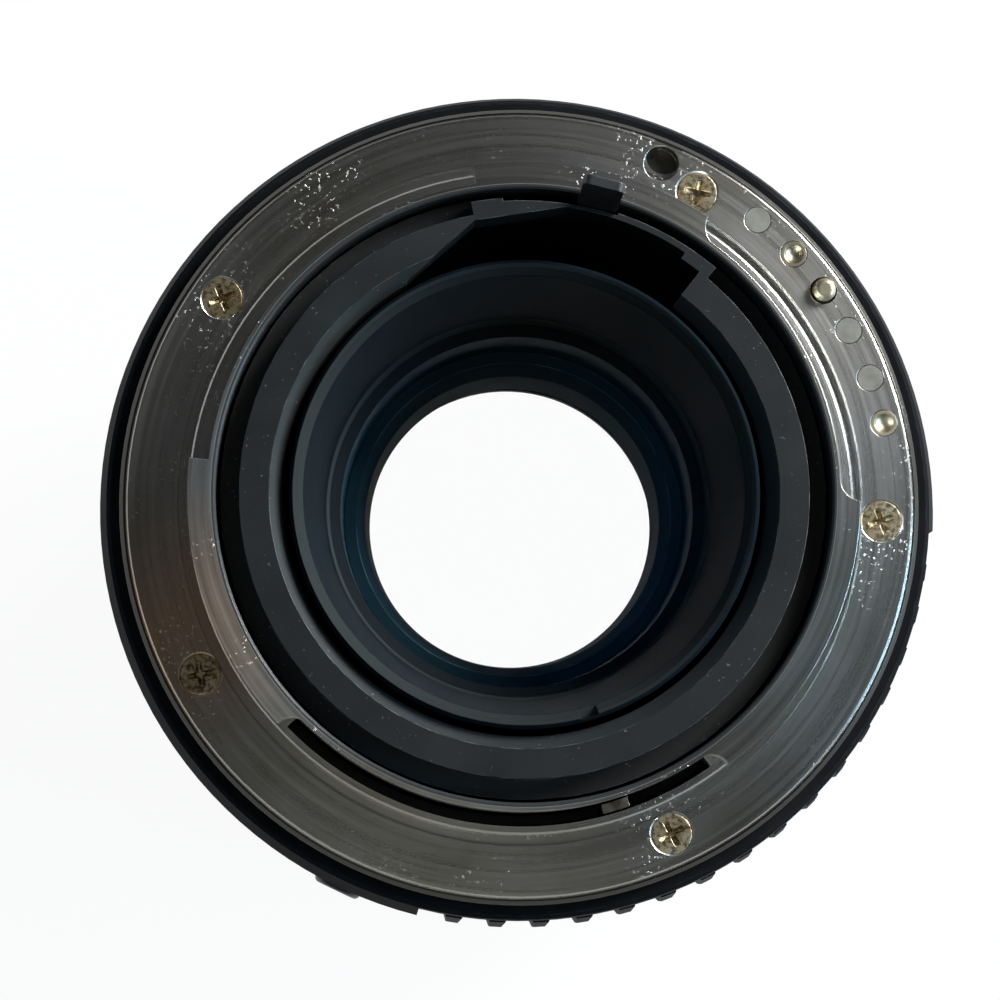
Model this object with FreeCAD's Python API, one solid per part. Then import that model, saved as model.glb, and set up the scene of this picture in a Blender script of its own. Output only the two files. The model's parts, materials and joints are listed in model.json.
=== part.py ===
"""Telephoto prime lens for an interchangeable-lens camera, standing on its front rim.

The optical axis is Z. Z = 0 is the front rim and +Z leads to the bayonet at the camera's end.
Angles are in degrees from +X towards +Y, as seen when looking into the bayonet.
The optics and the front barrel stand still here, and focusing lifts the rear barrel off them.
"""

import FreeCAD, Part
import math
import os

V = FreeCAD.Vector
ORIGIN = V(0, 0, 0)
AXIS = V(0, 0, 1)
OVER = 1.0  # how far a cutting tool runs past the face that it cuts
TINY = 0.01

# Running clearances, radial, and gaps between faces that pass each other
thread_clearance = 0.08
bearing_clearance = 0.1
passing_gap = 0.3
seat_gap = 0.05
small_chamfer = 0.3
edge_break = 0.15

# Bayonet, from its throat outwards
throat_radius = 22.0
spigot_wall = 0.6
spigot_radius = throat_radius + spigot_wall
spigot_height = 6.0  # over the flange face
lug_reach = 1.4
lug_radius = spigot_radius + lug_reach
lug_thickness = 1.6
lug_overrun = 2.0  # degrees that a fillet's root runs into its lug
lugs = [  # first and last angle, and where each end's fillet meets the spigot (same angle: square end)
    (56.6, 99.0, 52.9, 99.0),
    (174.3, 223.2, 174.3, 226.2),
    (306.8, 358.8, 303.8, 362.75),
]
coupling_slot = (224.2, 305.2)
coupling_slot_width = 1.0
coupling_slot_radii = (spigot_radius, spigot_radius + coupling_slot_width)
pilot_rim = 0.6
pilot_radius = coupling_slot_radii[1] + pilot_rim
pilot_height = 1.0
relief_width = 0.8
relief_depth = 0.4
face_inner_radius = pilot_radius + relief_width
face_width = 3.6
face_outer_radius = face_inner_radius + face_width
plate_edge_width = 0.65
plate_edge_drop = 0.5
plate_radius = face_outer_radius + plate_edge_width
plate_thickness = 1.4
screw_inset = 1.43  # from the face's inner edge
screw_circle_radius = face_inner_radius + screw_inset
screw_angles = [145.8, 60.5, 357.2, 294.3, 208.6]
screw_head_radius = 1.55
screw_shank_radius = 0.8
screw_head_depth = 0.75
screw_length = 5.5
screw_hole_spare = 0.5
lock_dimple_inset = 1.4  # from the face's outer edge
lock_dimple_circle = face_outer_radius - lock_dimple_inset
lock_dimple_angle = 67.6
lock_dimple_radius = 1.3
lock_dimple_depth = 1.15

# Electrical contacts
contact_inset = 1.3  # from the face's outer edge
contact_circle_radius = face_outer_radius - contact_inset
contact_radius = 0.95
contact_sink = 0.03
contact_stud_foot = 1.2
contact_dimple_radius = 0.9
contact_dimple_lift = 0.55
contact_angles_plain = [50.2, 27.9, 19.8]
contact_angles_metal = [42.5, 12.5]
auto_pin_angle = 35.2
auto_pin_radius = 0.85
auto_pin_stand = 0.9
auto_pin_round = 0.45
auto_pin_collar_radius = 1.05
auto_pin_collar_height = 0.6
auto_pin_travel = 0.8
auto_pin_spring_closed = 3.0
auto_pin_spring_length = auto_pin_spring_closed + auto_pin_travel
auto_pin_spring_mean = 0.65
auto_pin_spring_turns = 4
contact_block_depth = 2.2
contact_block_ends = (9.0, 54.0)
contact_block_end_play = 0.2
contact_block_inner_reach = 1.55  # from the contact circle towards the axis
contact_block_inset = 0.1
spring_wire = 0.3

# Rear housing, the neck that carries the bayonet, in radii
housing_bore_radius = coupling_slot_radii[1]
housing_inset = 0.2
housing_radius = face_outer_radius - housing_inset
contact_block_radii = (
    contact_circle_radius - contact_block_inner_reach, housing_radius - contact_block_inset
)
barrel_flange_rim = 0.9  # from the housing's bore to the bore of the barrel's flange
barrel_flange_bore = housing_bore_radius + barrel_flange_rim
housing_screw_inset = 1.6
housing_screw_circle = barrel_flange_bore + housing_screw_inset
housing_screw_angles = [30.0, 120.0, 180.0, 330.0]
housing_screw_head_radius = 1.4
housing_screw_head_height = 1.0
housing_screw_grip = 3.0

# Stop-down lever, between the throat and the baffle
lever_angle = 76.0
lever_width = 2.9
lever_thickness = 0.65
lever_gap = 0.15
lever_radii = (throat_radius - lever_gap - lever_thickness, throat_radius - lever_gap)
lever_height = 13.5  # top of the lever over the flange face
lever_round = 0.5
lever_throw = 14.0
lever_end_play = 0.4  # degrees
lever_reach = math.degrees(lever_width / 2 / lever_radii[0]) + lever_end_play
lever_slot = (lever_angle - lever_reach, lever_angle + lever_throw + lever_reach)
lever_slot_radius = lever_radii[0] - bearing_clearance

# Rear baffle, from the throat inwards
baffle_fit = 0.25
baffle_wall_outer = throat_radius - baffle_fit
baffle_wall = 0.8
baffle_wall_inner = baffle_wall_outer - baffle_wall
baffle_step_width = 1.42
baffle_step_depth = 2.0
baffle_band_outer = baffle_wall_outer - baffle_step_width
baffle_band_width = 2.13
baffle_band_inner = baffle_band_outer - baffle_band_width
baffle_band_thickness = 3.0
baffle_chamfer = 1.1
baffle_lip_width = 0.9
baffle_lip_radius = baffle_band_inner - baffle_lip_width
baffle_flange_thickness = 1.0
baffle_flange_reach = 0.5
baffle_flange_play = 0.1
window_start = 51.9
window_hook = 56.5
window_arc_end = 82.0
window_rim = 0.25  # thin wall that stands between the window and the lever
window_wall = 0.45  # the same wall beside the lever's slot
window_radius = lever_slot_radius - window_rim
window_slope_drop = 0.9
window_slope = (window_radius - window_slope_drop, 100.5)
window_tip_rim = 0.2
window_tip = (baffle_lip_radius + window_tip_rim, 119.0)
window_overrun = 2.0  # degrees

# Ring that carries the stop-down lever, in radii
stop_ring_rim = 0.5
stop_ring_outer = lever_radii[1] + stop_ring_rim
stop_ring_thickness = 1.2
rear_tube_gap = 0.5  # between the rear tube and the baffle's lip
rear_tube_radius = baffle_lip_radius - rear_tube_gap
shelf_bore_gap = 1.8
shelf_bore_radius = rear_tube_radius + shelf_bore_gap
collar_wall = 0.65
collar_radius = shelf_bore_radius + collar_wall
rod_angle = 180.0
rod_radius = 0.6
rod_inset = 1.25  # from the collar that the ring turns on
rod_circle_radius = collar_radius + rod_inset

# Aperture ring and what it turns, in radii
aperture_bore_radius = housing_radius + bearing_clearance
aperture_wall = 1.9
aperture_valley_radius = aperture_bore_radius + aperture_wall
aperture_rib_height = 0.5
aperture_rib_radius = aperture_valley_radius + aperture_rib_height
aperture_rim_inset = 0.1
aperture_rim_radius = aperture_valley_radius - aperture_rim_inset
aperture_rib_count = 60  # on a whole turn, of which the land leaves out most
aperture_rib_start = 5.0  # degrees from the land's end to the first rib
aperture_rib_width = 1.5
aperture_rib_crest = 0.8
aperture_rib_root = 0.3  # how deep a rib is sunk into the ring
aperture_slope_length = 2.3  # at the rear end of the land
aperture_rib_slope_length = 4.6
aperture_rib_end = 0.12  # what is left of a rib's height at its rear end
aperture_front_chamfer = 0.4
aperture_rim_height = 1.0
aperture_land = (-3.0, 256.0)
aperture_throw = 60.0
coupling_ring_play = 0.15
coupling_ring_radii = (
    coupling_slot_radii[0] + coupling_ring_play, coupling_slot_radii[1] - coupling_ring_play
)
coupling_ring_height = 1.5
coupling_tab_angle = 287.0
coupling_tab_width = 2.0
coupling_tab_stand = 0.6
coupling_arm_width = 4.0
coupling_arm_reach = 0.6  # into the aperture ring
coupling_arm_spare = 0.6  # degrees
lock_button_angle = 244.5
lock_button_radius = 1.8
lock_button_stand = 0.3
lock_button_top = aperture_rib_radius + lock_button_stand
lock_button_travel = 0.4
lock_button_round = 0.4
lock_button_floor = 0.4  # wall left under the button
lock_spring_radius = 1.5
lock_spring_wall = 0.25
lock_spring_slope = 0.6
click_angle = 130.0
click_ball_radius = 0.75
click_track_depth = 0.35
click_track_radius = aperture_bore_radius + click_track_depth
click_track_width = 1.6
click_pocket_depth = 2.8
click_spring_mean = 0.5
click_spring_turns = 3
click_notch_radius = 0.5
click_notch_height = 1.2
click_stops = 9

# Main barrel, depth scale and keys, in radii
barrel_tube_fit = 0.1
barrel_tube_outer = housing_radius + barrel_tube_fit
barrel_wall = 1.1
barrel_tube_radii = (barrel_tube_outer - barrel_wall, barrel_tube_outer)
helicoid_radius = barrel_tube_radii[0] - bearing_clearance
helicoid_wall = 1.22
helicoid_bore_radius = helicoid_radius - helicoid_wall
keeper_reach = 0.5
keeper_radius = helicoid_radius + keeper_reach
keeper_bore_in_barrel = keeper_radius + bearing_clearance
keeper_height = 1.6
keeper_collar = 0.2
keeper_gap = 0.1

# Focus ring, from the barrel's tube outwards
focus_bore_radius = barrel_tube_outer + passing_gap
helicoid_flange_radius = focus_bore_radius - seat_gap
helicoid_flange_height = 3.9
focus_wall = 0.8
focus_wall_radius = focus_bore_radius + focus_wall
focus_land_step = 0.4
focus_land_radius = focus_wall_radius + focus_land_step
focus_chamfer = 0.4
focus_screw_angles = [10.0, 130.0, 250.0]
focus_screw_sink = 0.15
small_screw_radius = 0.5
grip_thickness = 0.65
grip_radius = focus_wall_radius + grip_thickness
grip_front_land = 3.0
grip_rear_land = 8.0
grip_seat = 0.1
grip_flute_count = 48
grip_flute_width = 1.5
grip_flute_depth = 0.4
grip_flute_margin = 1.0
grip_band_width = 1.2
grip_bands = 3

# Shoulder and scale ring, flush with the focus ring's land
barrel_shoulder_radius = focus_land_radius
shoulder_rear_chamfer = 0.6
scale_ring_bore = barrel_tube_outer + bearing_clearance
scale_ring_proud = 0.1
scale_ring_radius = barrel_shoulder_radius + scale_ring_proud
scale_ring_chamfer = 0.4
scale_screw_angles = [40.0, 220.0, 330.0]
scale_screw_inset = 2.0
scale_screw_sink = 0.1
bead_angle = 122.0
bead_radius = 1.2
bead_sink = 0.35

# Front barrel, in radii
front_inset = 0.8
front_radius = focus_land_radius - front_inset
front_edge = 0.5
front_wall = 3.6
filter_bore_radius = front_radius - front_wall
skirt_radius = helicoid_bore_radius - thread_clearance
skirt_wall = 1.6
skirt_bore_radius = skirt_radius - skirt_wall
key_angles = [90.0, 270.0]
key_width = 4.0
key_play = 0.1
key_end_gap = 1.0
key_outer_gap = 0.3
key_inner_gap = 0.35
key_radii = (skirt_bore_radius + key_inner_gap, skirt_radius - key_outer_gap)

# Lens cell and glass, in radii. A positive sag bulges outwards.
glass_gap = 0.05
front_glass_inset = 1.0
front_glass_radius = filter_bore_radius - front_glass_inset
front_glass_sag = (3.4, 0.9)
front_ledge_width = 0.7
front_ledge_radius = front_glass_radius - front_ledge_width
name_ring_reach = 0.35  # past the glass, radially
name_ring_lip = 0.5
name_ring_front_width = 0.45
name_ring_bore = front_glass_radius - name_ring_lip
cell_radius = skirt_bore_radius - bearing_clearance
second_glass_inset = 1.4
second_glass_radius = cell_radius - second_glass_inset
second_glass_sag = (2.4, -0.9)
second_ledge_width = 1.4
second_ledge_radius = second_glass_radius - second_ledge_width
third_glass_inset = 4.4
third_glass_radius = cell_radius - third_glass_inset
third_glass_sag = (-0.5, -1.6)
third_ledge_width = 1.3
third_ledge_radius = third_glass_radius - third_ledge_width
third_ring_width = 1.0  # from the ledge towards the axis
ledge_thickness = 1.0

# Iris, from the lens cell inwards
iris_wall = 1.3
iris_wall_bore = cell_radius - iris_wall
tube_screw_inset = 0.7
tube_screw_circle = cell_radius - tube_screw_inset
tube_screw_angles = [45.0, 135.0, 225.0, 315.0]
tube_screw_grip = 2.0
blade_count = 8
blade_thickness = 0.12
blade_pitch_z = 0.27
blade_room = 2.4  # between the blades' heads and the wall
blade_head_radius = iris_wall_bore - blade_room
blade_head_reach = 1.1
blade_pivot_radius = blade_head_radius - blade_head_reach
blade_pivot_inset = 1.0
blade_outer_radius = blade_pivot_radius - blade_pivot_inset
blade_width = 4.5
blade_inner_radius = blade_outer_radius - blade_width
blade_head_overlap = 0.5
blade_pin_radius = 0.45
blade_pin_angle = 16.0
blade_pin_sink = 0.2
blade_head_angles = (-4.0, 20.0)
blade_tip_angle = 95.0
blade_throw = 36.0
iris_open_lip = 0.3
iris_open_radius = blade_inner_radius - iris_open_lip
cam_ring_inset = 0.8
cam_ring_bore = blade_inner_radius + cam_ring_inset
cam_ring_thickness = 1.0
fork_play = 0.1
fork_radii = (rod_circle_radius - rod_radius - fork_play, rod_circle_radius + rod_radius + fork_play)
fork_prong_width = 1.2

# Rear tube, its glass and its retaining ring, in radii
rear_tube_mouth_wall = 2.9
rear_tube_wall = 3.6
tube_throat_radius = rear_tube_radius - rear_tube_wall
tube_foot_lip = 0.6
tube_foot_depth = 4.0
rear_ring_inset = 0.3
rear_ring_radius = tube_throat_radius - rear_ring_inset
rear_ring_wall = 1.93
rear_ring_front_radius = rear_ring_radius - rear_ring_wall
rear_ring_waist_wall = 0.37
rear_ring_top_width = 0.86
rear_ring_undercut = 0.9
rear_glass_inset = 0.3
rear_glass_radius = rear_ring_radius - rear_glass_inset
rear_glass_sag = (0.6, 1.5)
rear_ledge_width = 1.0
rear_ledge_radius = rear_glass_radius - rear_ledge_width
tube_notch_angle = 286.0
tube_notch_width = 1.3
tube_notch_depth = 0.7
tube_notch_reach = 1.4
tube_notch_rim = 0.2
tube_notch_outer = rear_tube_radius - tube_notch_rim
tube_lip_chamfer = 0.25
tube_lip_width = 0.3
tube_lip_slope = (0.45, 0.8)

# Heights of the front barrel and the optics, from the front rim
filter_bore_depth = 4.8
name_ring_gap = 0.1
name_ring_front_z = filter_bore_depth + name_ring_gap
name_ring_height = 3.5
name_ring_edge = 0.4
front_glass_edge = 4.2
front_glass_low = name_ring_front_z + name_ring_height
front_glass_z = (front_glass_low, front_glass_low + front_glass_edge)
front_ledge_thickness = 0.6
cell_start_z = front_glass_z[1] + front_ledge_thickness
front_section_tail = 1.4
front_section_length = cell_start_z + front_section_tail
cell_length = 30.8
cell_end_z = cell_start_z + cell_length
second_glass_place = 3.8
second_glass_edge = 4.0
second_glass_low = cell_start_z + second_glass_place
second_glass_z = (second_glass_low, second_glass_low + second_glass_edge)
second_ring_height = 1.8
third_glass_place = 10.0
third_glass_edge = 3.6
third_glass_low = cell_end_z - third_glass_place
third_glass_z = (third_glass_low, third_glass_low + third_glass_edge)
third_ring_height = 2.0
iris_plate_thickness = 1.2
blade_gap = 0.1
blade_low_z = cell_end_z + iris_plate_thickness + blade_gap
cam_ring_gap = 0.34
cam_ring_z = blade_low_z + blade_count * blade_pitch_z + cam_ring_gap
cover_gap = 0.2
iris_wall_end_z = cam_ring_z + cam_ring_thickness + cover_gap
iris_cover_thickness = 1.0
rear_tube_flange_thickness = 1.6
tube_start_z = iris_wall_end_z + iris_cover_thickness
tube_flange_top_z = tube_start_z + rear_tube_flange_thickness
skirt_end_gap = 0.4
skirt_end_z = tube_flange_top_z + skirt_end_gap

# Heights of the rear barrel
focus_front_gap = 0.6
focus_start_z = front_section_length + focus_front_gap
focus_length = 36.4
focus_end_z = focus_start_z + focus_length
grip_start_z = focus_start_z + grip_front_land
grip_end_z = focus_end_z - grip_rear_land
barrel_front_inset = 0.3
barrel_tube_start_z = focus_start_z + helicoid_flange_height + barrel_front_inset
helicoid_rear_inset = 3.6
helicoid_end_z = focus_end_z - helicoid_rear_inset
shoulder_gap = 0.4
barrel_shoulder_z = focus_end_z + shoulder_gap
shoulder_length = 8.0
scale_start_z = barrel_shoulder_z + shoulder_length
scale_ring_length = 9.2
scale_end_z = scale_start_z + scale_ring_length
housing_seat_inset = 6.0  # from the scale ring's front edge to the housing's lower face
housing_bottom_z = scale_start_z + housing_seat_inset
barrel_flange_thickness = 4.0
barrel_flange_z = housing_bottom_z - barrel_flange_thickness
key_length = 28.0
key_bottom_z = barrel_flange_z - key_length
aperture_start_z = scale_end_z + passing_gap
aperture_ring_length = 8.5
aperture_end_z = aperture_start_z + aperture_ring_length
click_place = 2.1
click_z = aperture_start_z + click_place
lock_button_place = 4.1
lock_button_z = aperture_start_z + lock_button_place
plate_gap = 0.6
plate_back_z = aperture_end_z + plate_gap
flange_z = plate_back_z + plate_thickness
shelf_depth = 4.8  # from the flange's back to the shelf's upper face
shelf_thickness = 1.4
shelf_top_z = plate_back_z - shelf_depth
shelf_bottom_z = shelf_top_z - shelf_thickness
collar_height = 1.4
collar_top_z = shelf_top_z + collar_height
coupling_ring_gap = 0.15
coupling_ring_z = shelf_top_z + coupling_ring_gap
coupling_arm_z = coupling_ring_z + coupling_ring_gap
rear_tube_top = 6.0  # over the flange face
rear_tube_step = 6.8  # depth of the lit step under the flange face
rear_tube_step_height = 0.5
rear_ring_depths = (19.0, 14.7, 12.4)  # clear opening, waist and top edge under the flange face
rear_glass_gap = 1.8
rear_glass_edge = 3.2
rear_glass_high = flange_z - rear_ring_depths[0] - rear_glass_gap
rear_glass_z = (rear_glass_high - rear_glass_edge, rear_glass_high)

# The rod stays in the fork of the cam ring over the whole focus travel
focus_travel = 13.4  # how far the rear barrel lifts from infinity to the nearest distance
rod_end_gap = 0.7
rod_bottom_z = tube_flange_top_z + rod_end_gap
fork_engagement = 1.9
fork_top_z = rod_bottom_z + focus_travel + fork_engagement


def polar(radius, angle, z=0.0):
    turn = math.radians(angle)
    return V(radius * math.cos(turn), radius * math.sin(turn), z)


def turned(profile):
    """Solid of revolution about the optical axis from a closed outline of (radius, z) corners."""
    corners = [V(r, 0, z) for r, z in profile]
    face = Part.Face(Part.makePolygon(corners + corners[:1]))
    return face.revolve(ORIGIN, AXIS, 360)


def sleeve(inner, outer, low, high):
    return turned([(inner, low), (outer, low), (outer, high), (inner, high)])


def wedge(inner, outer, low, high, first, last):
    """Piece of a ring between two angles."""
    middle = (first + last) / 2
    edges = [
        Part.Arc(polar(outer, first, low), polar(outer, middle, low), polar(outer, last, low)).toShape(),
        Part.LineSegment(polar(outer, last, low), polar(inner, last, low)).toShape(),
        Part.Arc(polar(inner, last, low), polar(inner, middle, low), polar(inner, first, low)).toShape(),
        Part.LineSegment(polar(inner, first, low), polar(outer, first, low)).toShape(),
    ]
    return Part.Face(Part.Wire(edges)).extrude(V(0, 0, high - low))


def post(radius, circle, angle, low, high):
    """Round bar parallel to the axis."""
    return Part.makeCylinder(radius, high - low, polar(circle, angle, low), AXIS)


def radial_bar(radius, inner, outer, angle, z):
    """Round bar that points away from the axis."""
    return Part.makeCylinder(radius, outer - inner, polar(inner, angle, z), polar(1, angle))


def block(inner, outer, width, low, high, angle):
    """Straight-sided bar across a ring, width mm wide along the turn."""
    bar = Part.makeBox(outer - inner, width, high - low, V(inner, -width / 2, low))
    return bar.rotate(ORIGIN, AXIS, angle)


def prism(corners, low, high):
    """Upright prism over (radius, angle) corners joined by straight lines."""
    points = [polar(r, a, low) for r, a in corners]
    return Part.Face(Part.makePolygon(points + points[:1])).extrude(V(0, 0, high - low))


def joined(base, others):
    return base.multiFuse(others).removeSplitter() if others else base


def sag_at(radius, edge, sag):
    """Height over the edge plane of a spherical face that is sag mm high at its centre."""
    sphere = (edge ** 2 + sag ** 2) / (2 * abs(sag))
    rise = math.sqrt(sphere ** 2 - radius ** 2) - math.sqrt(sphere ** 2 - edge ** 2)
    return math.copysign(rise, sag)


def glass(edge, clear, heights, sags):
    """Lens element with spherical faces inside the clear radius and a flat ground rim outside it.

    A positive sag bulges outwards, a negative one is hollow.
    """
    low, high = heights
    front, back = sags
    half = clear / 2
    edges = [
        Part.Arc(
            V(0, 0, low - front),
            V(half, 0, low - sag_at(half, clear, front)),
            V(clear, 0, low),
        ).toShape(),
        Part.LineSegment(V(clear, 0, low), V(edge, 0, low)).toShape(),
        Part.LineSegment(V(edge, 0, low), V(edge, 0, high)).toShape(),
        Part.LineSegment(V(edge, 0, high), V(clear, 0, high)).toShape(),
        Part.Arc(
            V(clear, 0, high),
            V(half, 0, high + sag_at(half, clear, back)),
            V(0, 0, high + back),
        ).toShape(),
        Part.LineSegment(V(0, 0, high + back), V(0, 0, low - front)).toShape(),
    ]
    return Part.Face(Part.Wire(edges)).revolve(ORIGIN, AXIS, 360)


def coil(wire, mean, turns, centre, direction, length):
    """Compression spring of square wire along direction, from centre."""
    pitch = (length - wire) / turns
    helix = Part.makeHelix(pitch, length - wire, mean)
    half = wire / 2
    corners = [V(mean + x, 0, z) for x, z in ((-half, -half), (half, -half), (half, half), (-half, half))]
    spring = Part.Wire(helix).makePipeShell([Part.makePolygon(corners + corners[:1])], True, True)
    spring.translate(V(0, 0, wire / 2))
    stand = FreeCAD.Placement(centre, FreeCAD.Rotation(AXIS, direction))
    spring.Placement = stand.multiply(spring.Placement)
    return spring


# The pieces, each in its own function

def mount_plate():
    """Bayonet: flange, pilot ring, spigot and three lugs, with every hole that the flange has."""
    back = plate_back_z
    step = flange_z - plate_edge_drop
    top = flange_z + spigot_height
    body = turned([
        (throat_radius, back),
        (plate_radius, back),
        (plate_radius, step - small_chamfer),
        (plate_radius - small_chamfer, step),
        (face_outer_radius + edge_break, step),
        (face_outer_radius, step + edge_break),
        (face_outer_radius, flange_z),
        (face_inner_radius, flange_z),
        (face_inner_radius, flange_z - relief_depth),
        (pilot_radius, flange_z - relief_depth),
        (pilot_radius, flange_z + pilot_height - edge_break),
        (pilot_radius - edge_break, flange_z + pilot_height),
        (spigot_radius, flange_z + pilot_height),
        (spigot_radius, top),
        (throat_radius + edge_break, top),
        (throat_radius, top - edge_break),
    ])
    ears = []
    low = top - lug_thickness
    root = (spigot_radius + throat_radius) / 2
    for first, last, first_foot, last_foot in lugs:
        ears.append(wedge(root, lug_radius, low, top, first, last))
        for corner, foot in ((first, first_foot), (last, last_foot)):
            if corner != foot:
                ears.append(lug_fillet(root, corner, foot, low, top))
    body = joined(body, ears)
    cuts = [wedge(*coupling_slot_radii, back - OVER, flange_z + pilot_height + OVER, *coupling_slot)]
    for angle in screw_angles:
        cuts.append(post(
            screw_shank_radius + bearing_clearance, screw_circle_radius, angle, back - OVER, flange_z
        ))
        cuts.append(countersink(angle, seat_gap))
    for angle in contact_angles_plain + contact_angles_metal + [auto_pin_angle]:
        cuts.append(post(
            contact_radius + seat_gap, contact_circle_radius, angle, back - OVER, flange_z + OVER
        ))
    cuts.append(post(
        lock_dimple_radius, lock_dimple_circle, lock_dimple_angle,
        flange_z - lock_dimple_depth, flange_z + OVER
    ))
    for cut in cuts:
        body = body.cut(cut)
    return body


def lug_fillet(root, corner, foot, low, high):
    """Hollow fillet from a lug's outer corner down to the spigot."""
    share = 1 - math.cos(math.radians(45))
    middle = polar(
        spigot_radius + share * (lug_radius - spigot_radius), corner + share * (foot - corner), low
    )
    start = polar(spigot_radius - seat_gap, foot, low)
    end = polar(lug_radius, corner, low)
    inside = polar(root, corner + math.copysign(lug_overrun, corner - foot), low)
    edges = [
        Part.Arc(start, middle, end).toShape(),
        Part.LineSegment(end, inside).toShape(),
        Part.LineSegment(inside, polar(root, foot, low)).toShape(),
        Part.LineSegment(polar(root, foot, low), start).toShape(),
    ]
    return Part.Face(Part.Wire(edges)).extrude(V(0, 0, high - low))


def countersink(angle, extra):
    """Cone that a flat screw head fills, opened by extra all round."""
    point = polar(screw_circle_radius, angle, flange_z - screw_head_depth)
    wide = screw_head_radius + extra
    cone = Part.makeCone(screw_shank_radius + extra, wide, screw_head_depth, point, AXIS)
    mouth = post(wide, screw_circle_radius, angle, flange_z, flange_z + OVER)
    return cone.fuse(mouth)


def mount_screws():
    """Five countersunk screws that hold the bayonet to the rear housing."""
    screws = []
    for angle in screw_angles:
        low = flange_z - screw_head_depth
        point = polar(screw_circle_radius, angle, low)
        head = Part.makeCone(
            screw_shank_radius, screw_head_radius, screw_head_depth - seat_gap, point, AXIS
        )
        shank = post(screw_shank_radius, screw_circle_radius, angle, flange_z - screw_length, low)
        screws.append(head.fuse(shank))
    return Part.makeCompound(screws)


def rear_housing():
    """Neck between the main barrel and the bayonet, with the shelf that the lever ring turns on."""
    top = plate_back_z
    ledge = top - baffle_flange_thickness
    counterbore = housing_bore_radius + baffle_flange_reach + baffle_flange_play
    body = turned([
        (housing_bore_radius, housing_bottom_z),
        (housing_radius, housing_bottom_z),
        (housing_radius, top),
        (counterbore, top),
        (counterbore, ledge),
        (housing_bore_radius, ledge),
        (housing_bore_radius, shelf_top_z),
        (collar_radius, shelf_top_z),
        (collar_radius, collar_top_z),
        (shelf_bore_radius, collar_top_z),
        (shelf_bore_radius, shelf_bottom_z),
        (housing_bore_radius, shelf_bottom_z),
    ])
    rod_reach = math.degrees((rod_radius + passing_gap) / rod_circle_radius)
    arm_reach = math.degrees(coupling_arm_width / 2 / housing_bore_radius) + coupling_arm_spare
    arm_low, arm_high = coupling_arm_heights()
    block_low = top - contact_block_depth
    pocket_reach = math.degrees((auto_pin_collar_radius + bearing_clearance) / contact_circle_radius)
    cuts = [
        wedge(
            rod_circle_radius - rod_radius - passing_gap,
            rod_circle_radius + rod_radius + passing_gap,
            shelf_bottom_z - OVER, shelf_top_z + OVER,
            rod_angle - rod_reach, rod_angle + lever_throw + rod_reach,
        ),
        wedge(
            housing_bore_radius - OVER, housing_radius + OVER,
            arm_low - passing_gap / 2, arm_high + passing_gap / 2,
            coupling_tab_angle - aperture_throw - arm_reach, coupling_tab_angle + arm_reach,
        ),
        wedge(
            contact_block_radii[0] - seat_gap, housing_radius + OVER, block_low - seat_gap, top + OVER,
            contact_block_ends[0] - contact_block_end_play, contact_block_ends[1] + contact_block_end_play,
        ),
        wedge(
            contact_circle_radius - auto_pin_collar_radius - bearing_clearance, housing_radius + OVER,
            auto_pin_pocket_z(), block_low,
            auto_pin_angle - pocket_reach, auto_pin_angle + pocket_reach,
        ),
        radial_bar(
            click_ball_radius + seat_gap, housing_radius - click_pocket_depth, housing_radius + OVER,
            click_angle, click_z
        ),
    ]
    for angle in screw_angles:
        cuts.append(post(
            screw_shank_radius + seat_gap, screw_circle_radius, angle,
            flange_z - screw_length - screw_hole_spare, top + OVER
        ))
    for angle in housing_screw_angles:
        cuts.append(post(
            screw_shank_radius + seat_gap, housing_screw_circle, angle,
            housing_bottom_z - OVER, housing_bottom_z + housing_screw_grip + screw_hole_spare
        ))
    for cut in cuts:
        body = body.cut(cut)
    return body


def housing_screws():
    """Screws that hold the rear housing to the main barrel's inner flange, from the front side."""
    screws = []
    for angle in housing_screw_angles:
        head = post(
            housing_screw_head_radius, housing_screw_circle, angle,
            barrel_flange_z - housing_screw_head_height, barrel_flange_z
        )
        shank = post(
            screw_shank_radius, housing_screw_circle, angle,
            barrel_flange_z, housing_bottom_z + housing_screw_grip
        )
        screws.append(head.fuse(shank))
    return Part.makeCompound(screws)


def rear_baffle():
    """Black light trap inside the throat, with the window that the stop-down lever moves in."""
    top = flange_z + spigot_height
    step = top - baffle_step_depth
    under = top - baffle_band_thickness
    flange_low = plate_back_z - baffle_flange_thickness
    flange_radius = housing_bore_radius + baffle_flange_reach
    body = turned([
        (baffle_lip_radius, under),
        (baffle_lip_radius, top - baffle_chamfer),
        (baffle_band_inner, top),
        (baffle_band_outer, top),
        (baffle_band_outer, step),
        (baffle_wall_outer, step),
        (baffle_wall_outer, plate_back_z),
        (flange_radius, plate_back_z),
        (flange_radius, flange_low),
        (baffle_wall_inner, flange_low),
        (baffle_wall_inner, under),
    ])
    body = joined(body, [wedge(
        baffle_band_outer - OVER, window_radius + window_wall, step - OVER / 2, top,
        window_start - window_overrun, window_slope[1]
    )])
    low, high = flange_low - OVER, top + OVER
    inside = baffle_lip_radius - OVER
    window = [
        wedge(inside, baffle_band_outer, under - OVER, high, window_start, window_arc_end),
        wedge(inside, window_radius, under - OVER, high, window_hook, window_arc_end),
        prism([
            (inside, window_arc_end), (window_radius, window_arc_end), window_slope, window_tip,
            (inside, window_tip[1] + window_overrun), (inside, (window_arc_end + window_tip[1]) / 2),
        ], under - OVER, high),
    ]
    for cut in window:
        body = body.cut(cut)
    body = body.cut(wedge(lever_slot_radius, housing_bore_radius + OVER, low, high, *lever_slot))
    slot_low, slot_high = coupling_slot
    return body.cut(wedge(
        coupling_ring_radii[0] - passing_gap, coupling_ring_radii[1] + passing_gap,
        low, plate_back_z + OVER, slot_low - coupling_arm_spare, slot_high + coupling_arm_spare,
    ))


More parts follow.
